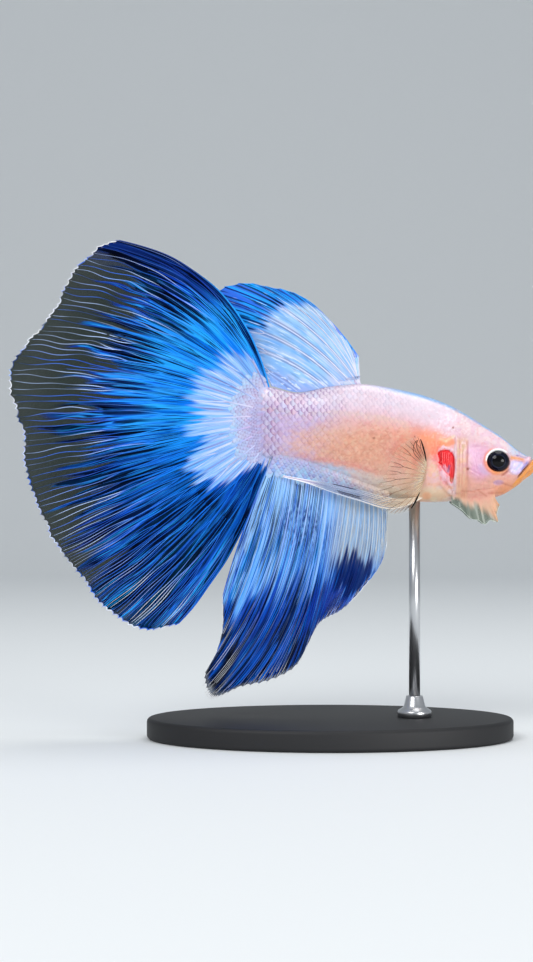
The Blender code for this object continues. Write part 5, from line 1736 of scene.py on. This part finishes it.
def build_stage(context):
    """A pale floor that curves up into a backdrop, soft lamps, and the camera level with the fish."""
    bend = np.linspace(0.05, 1.57, 24)
    run = np.concatenate([np.linspace(-900.0, 500.0, 8), 500 + 400 * np.sin(bend), [900.0]])
    rise = np.concatenate([np.zeros(8), 400 * (1 - np.cos(bend)), [1500.0]])
    across = np.array([[-1600.0, 1600.0]])
    points = stack(*np.broadcast_arrays(across, run[:, None], rise[:, None])).reshape(-1, 3)
    mesh = bpy.data.meshes.new("floor")
    mesh.from_pydata((points * MM).tolist(), [], grid_faces(len(run), 2).tolist())
    mesh.shade_smooth()
    # Matt paper: it takes soft shadows and gives no shine back
    paper = material("pale_backdrop_paper", Roughness=0.85, Base_Color=(*linear("#E6E9EA"), 1.0))[0]
    mesh.materials.append(paper)
    floor = bpy.data.objects.new("floor", mesh)
    context.scene.collection.objects.link(floor)
    floor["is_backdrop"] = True
    for name, place, size, power in (
        ("key_lamp", (-260.0, -420.0, 420.0), 300.0, 1.62),
        ("fill_lamp", (330.0, -400.0, 50.0), 280.0, 2.0),
        ("top_lamp", (60.0, 60.0, 480.0), 320.0, 0.85),
    ):
        lamp = bpy.data.lights.new(name, "AREA")
        lamp.shape = "DISK"
        lamp.size = size * MM
        lamp.energy = power
        obj = bpy.data.objects.new(name, lamp)
        obj.location = np.array(place) * MM
        aim = np.array((-9.0, 0.0, 38.0)) * MM - np.array(obj.location)
        obj.rotation_euler = Vector(aim).to_track_quat("-Z", "Y").to_euler()
        context.scene.collection.objects.link(obj)
    world = bpy.data.worlds.new("soft_room")
    world.use_nodes = True
    world.node_tree.nodes["Background"].inputs["Color"].default_value = (*linear("#E8EEF5"), 1.0)
    world.node_tree.nodes["Background"].inputs["Strength"].default_value = 0.5
    context.scene.world = world
    context.scene.view_settings.view_transform = "Standard"
    camera = bpy.data.cameras.new("camera")
    camera.sensor_width = SENSOR_WIDTH
    camera.lens = SENSOR_WIDTH * -CAMERA_PLACE[1] / VIEW_WIDTH
    camera.clip_end = 20.0
    eye = bpy.data.objects.new("camera", camera)
    eye.location = np.array(CAMERA_PLACE) * MM
    eye.rotation_euler = (math.pi / 2, 0.0, 0.0)
    context.scene.collection.objects.link(eye)
    context.scene.camera = eye


# ---------------------------------------------------------------- add-on


def swatch(name, description, code):
    """A colour that the user can choose, given first as sRGB hex."""
    look = {"subtype": "COLOR", "size": 3, "min": 0.0, "max": 1.0}
    return FloatVectorProperty(name=name, description=description, default=tuple(linear(code)), **look)


def length(name, description, millimetres):
    """A length that the user can choose, given first in millimetres."""
    look = {"unit": "LENGTH", "precision": 5}
    return FloatProperty(name=name, description=description, default=millimetres * MM, **look)


class BettaColours(bpy.types.PropertyGroup):
    """The colours that give the fish its look"""

    flank: swatch("Flank", "Warm patch in the middle of the flank", "#D99578")
    jaw: swatch("Lower jaw", "Lower jaw and lip", "#D98D3C")
    gill: swatch("Gill", "Gill filaments", "#EA282F")
    azure: swatch("Azure", "Tail fin next to its pale core", "#096DD8")
    royal: swatch("Royal blue", "Fins farther out", "#0D3DB0")
    navy: swatch("Navy", "Tail fin's leading edge", "#08205E")
    eye: swatch("Eye", "Pupil", "#020204")
    stand_paint: swatch("Stand", "Paint on the stand's base", "#1B1B1D")


class BettaSizes(bpy.types.PropertyGroup):
    """Sizes and point counts of the fine pieces"""

    scale_lift: length("Scale lift", "How far a scale's free edge stands off at the tail stem", 0.035)
    ray_tip: length("Ray tip", "Radius of a fin ray at its tip", 0.042)
    scale_size: FloatProperty(
        name="Scale size", description="Size of the scales against life", default=1.0, min=0.5, max=2.0
    )
    skin_around: IntProperty(
        name="Skin points", description="Points round each ring of the skin", default=256, min=64
    )


class Step:
    """What the operators share: it runs the builders once, or once for each side of the fish."""

    builders = ()
    sides = ((),)

    def execute(self, context):
        for side in self.sides:
            for build in self.builders:
                build(context, *side)
        return {"FINISHED"}


class OBJECT_OT_betta_skin(Step, bpy.types.Operator):
    """Model the skin of head, body and tail stem as one surface"""

    bl_idname = "object.betta_skin"
    bl_label = "Skin"
    builders = (build_skin,)


class OBJECT_OT_betta_scales(Step, bpy.types.Operator):
    """Cover both flanks with scales"""

    bl_idname = "object.betta_scales"
    bl_label = "Scales"
    builders = (build_scales, build_root_scales)
    sides = SIDES


class OBJECT_OT_betta_eyes(Step, bpy.types.Operator):
    """Model both eyes"""

    bl_idname = "object.betta_eyes"
    bl_label = "Eyes"
    builders = (build_eye,)
    sides = SIDES


class OBJECT_OT_betta_gills(Step, bpy.types.Operator):
    """Model the gills and the loose membranes below them"""

    bl_idname = "object.betta_gills"
    bl_label = "Gills"
    builders = (build_gill, build_membrane)
    sides = SIDES


class OBJECT_OT_betta_tail_fin(Step, bpy.types.Operator):
    """Model the tail fin and its rays"""

    bl_idname = "object.betta_tail_fin"
    bl_label = "Tail fin"
    builders = (build_caudal,)


class OBJECT_OT_betta_back_fin(Step, bpy.types.Operator):
    """Model the back fin and its rays"""

    bl_idname = "object.betta_back_fin"
    bl_label = "Back fin"
    builders = (build_dorsal,)


class OBJECT_OT_betta_lower_fin(Step, bpy.types.Operator):
    """Model the fin below the belly and its rays"""

    bl_idname = "object.betta_lower_fin"
    bl_label = "Lower fin"
    builders = (build_anal,)


class OBJECT_OT_betta_paired_fins(Step, bpy.types.Operator):
    """Model the paired fins on the flanks and below the belly"""

    bl_idname = "object.betta_paired_fins"
    bl_label = "Paired fins"
    builders = (build_pectoral, build_pelvic)
    sides = SIDES


class OBJECT_OT_betta_stand(Step, bpy.types.Operator):
    """Model the display stand"""

    bl_idname = "object.betta_stand"
    bl_label = "Stand"
    builders = (build_stand,)


class OBJECT_OT_betta_stage(Step, bpy.types.Operator):
    """Set up the floor, the lamps and the camera"""

    bl_idname = "object.betta_stage"
    bl_label = "Stage"
    builders = (build_stage,)


STEPS = (
    OBJECT_OT_betta_skin,
    OBJECT_OT_betta_scales,
    OBJECT_OT_betta_eyes,
    OBJECT_OT_betta_gills,
    OBJECT_OT_betta_tail_fin,
    OBJECT_OT_betta_back_fin,
    OBJECT_OT_betta_lower_fin,
    OBJECT_OT_betta_paired_fins,
    OBJECT_OT_betta_stand,
    OBJECT_OT_betta_stage,
)


class VIEW3D_PT_betta(bpy.types.Panel):
    """Sizes, colours and one button for each group of pieces"""

    bl_label = "Halfmoon betta"
    bl_space_type = "VIEW_3D"
    bl_region_type = "UI"
    bl_category = "Betta"

    def draw(self, context):
        for group in (context.scene.betta_sizes, context.scene.betta_colours):
            for key in group.__annotations__:
                self.layout.prop(group, key)
        for step in STEPS:
            self.layout.operator(step.bl_idname)


CLASSES = (BettaColours, BettaSizes, *STEPS, VIEW3D_PT_betta)


def register():
    """Adds the settings, the operators and the panel."""
    for cls in CLASSES:
        bpy.utils.register_class(cls)
    bpy.types.Scene.betta_colours = PointerProperty(type=BettaColours)
    bpy.types.Scene.betta_sizes = PointerProperty(type=BettaSizes)


def unregister():
    """Takes them away again, in the opposite order."""
    del bpy.types.Scene.betta_sizes
    del bpy.types.Scene.betta_colours
    for cls in reversed(CLASSES):
        bpy.utils.unregister_class(cls)


def main():
    """Builds every piece and works out the boxes of the solids and of what is seen, in metres."""
    register()
    for step in STEPS:
        group, name = step.bl_idname.split(".")
        getattr(getattr(bpy.ops, group), name)()
    boxes = {"cad": cad_box, "visual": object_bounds()}
    plain = {key: [[float(v) for v in corner] for corner in value] for key, value in boxes.items()}


if __name__ == "__main__":
    main()
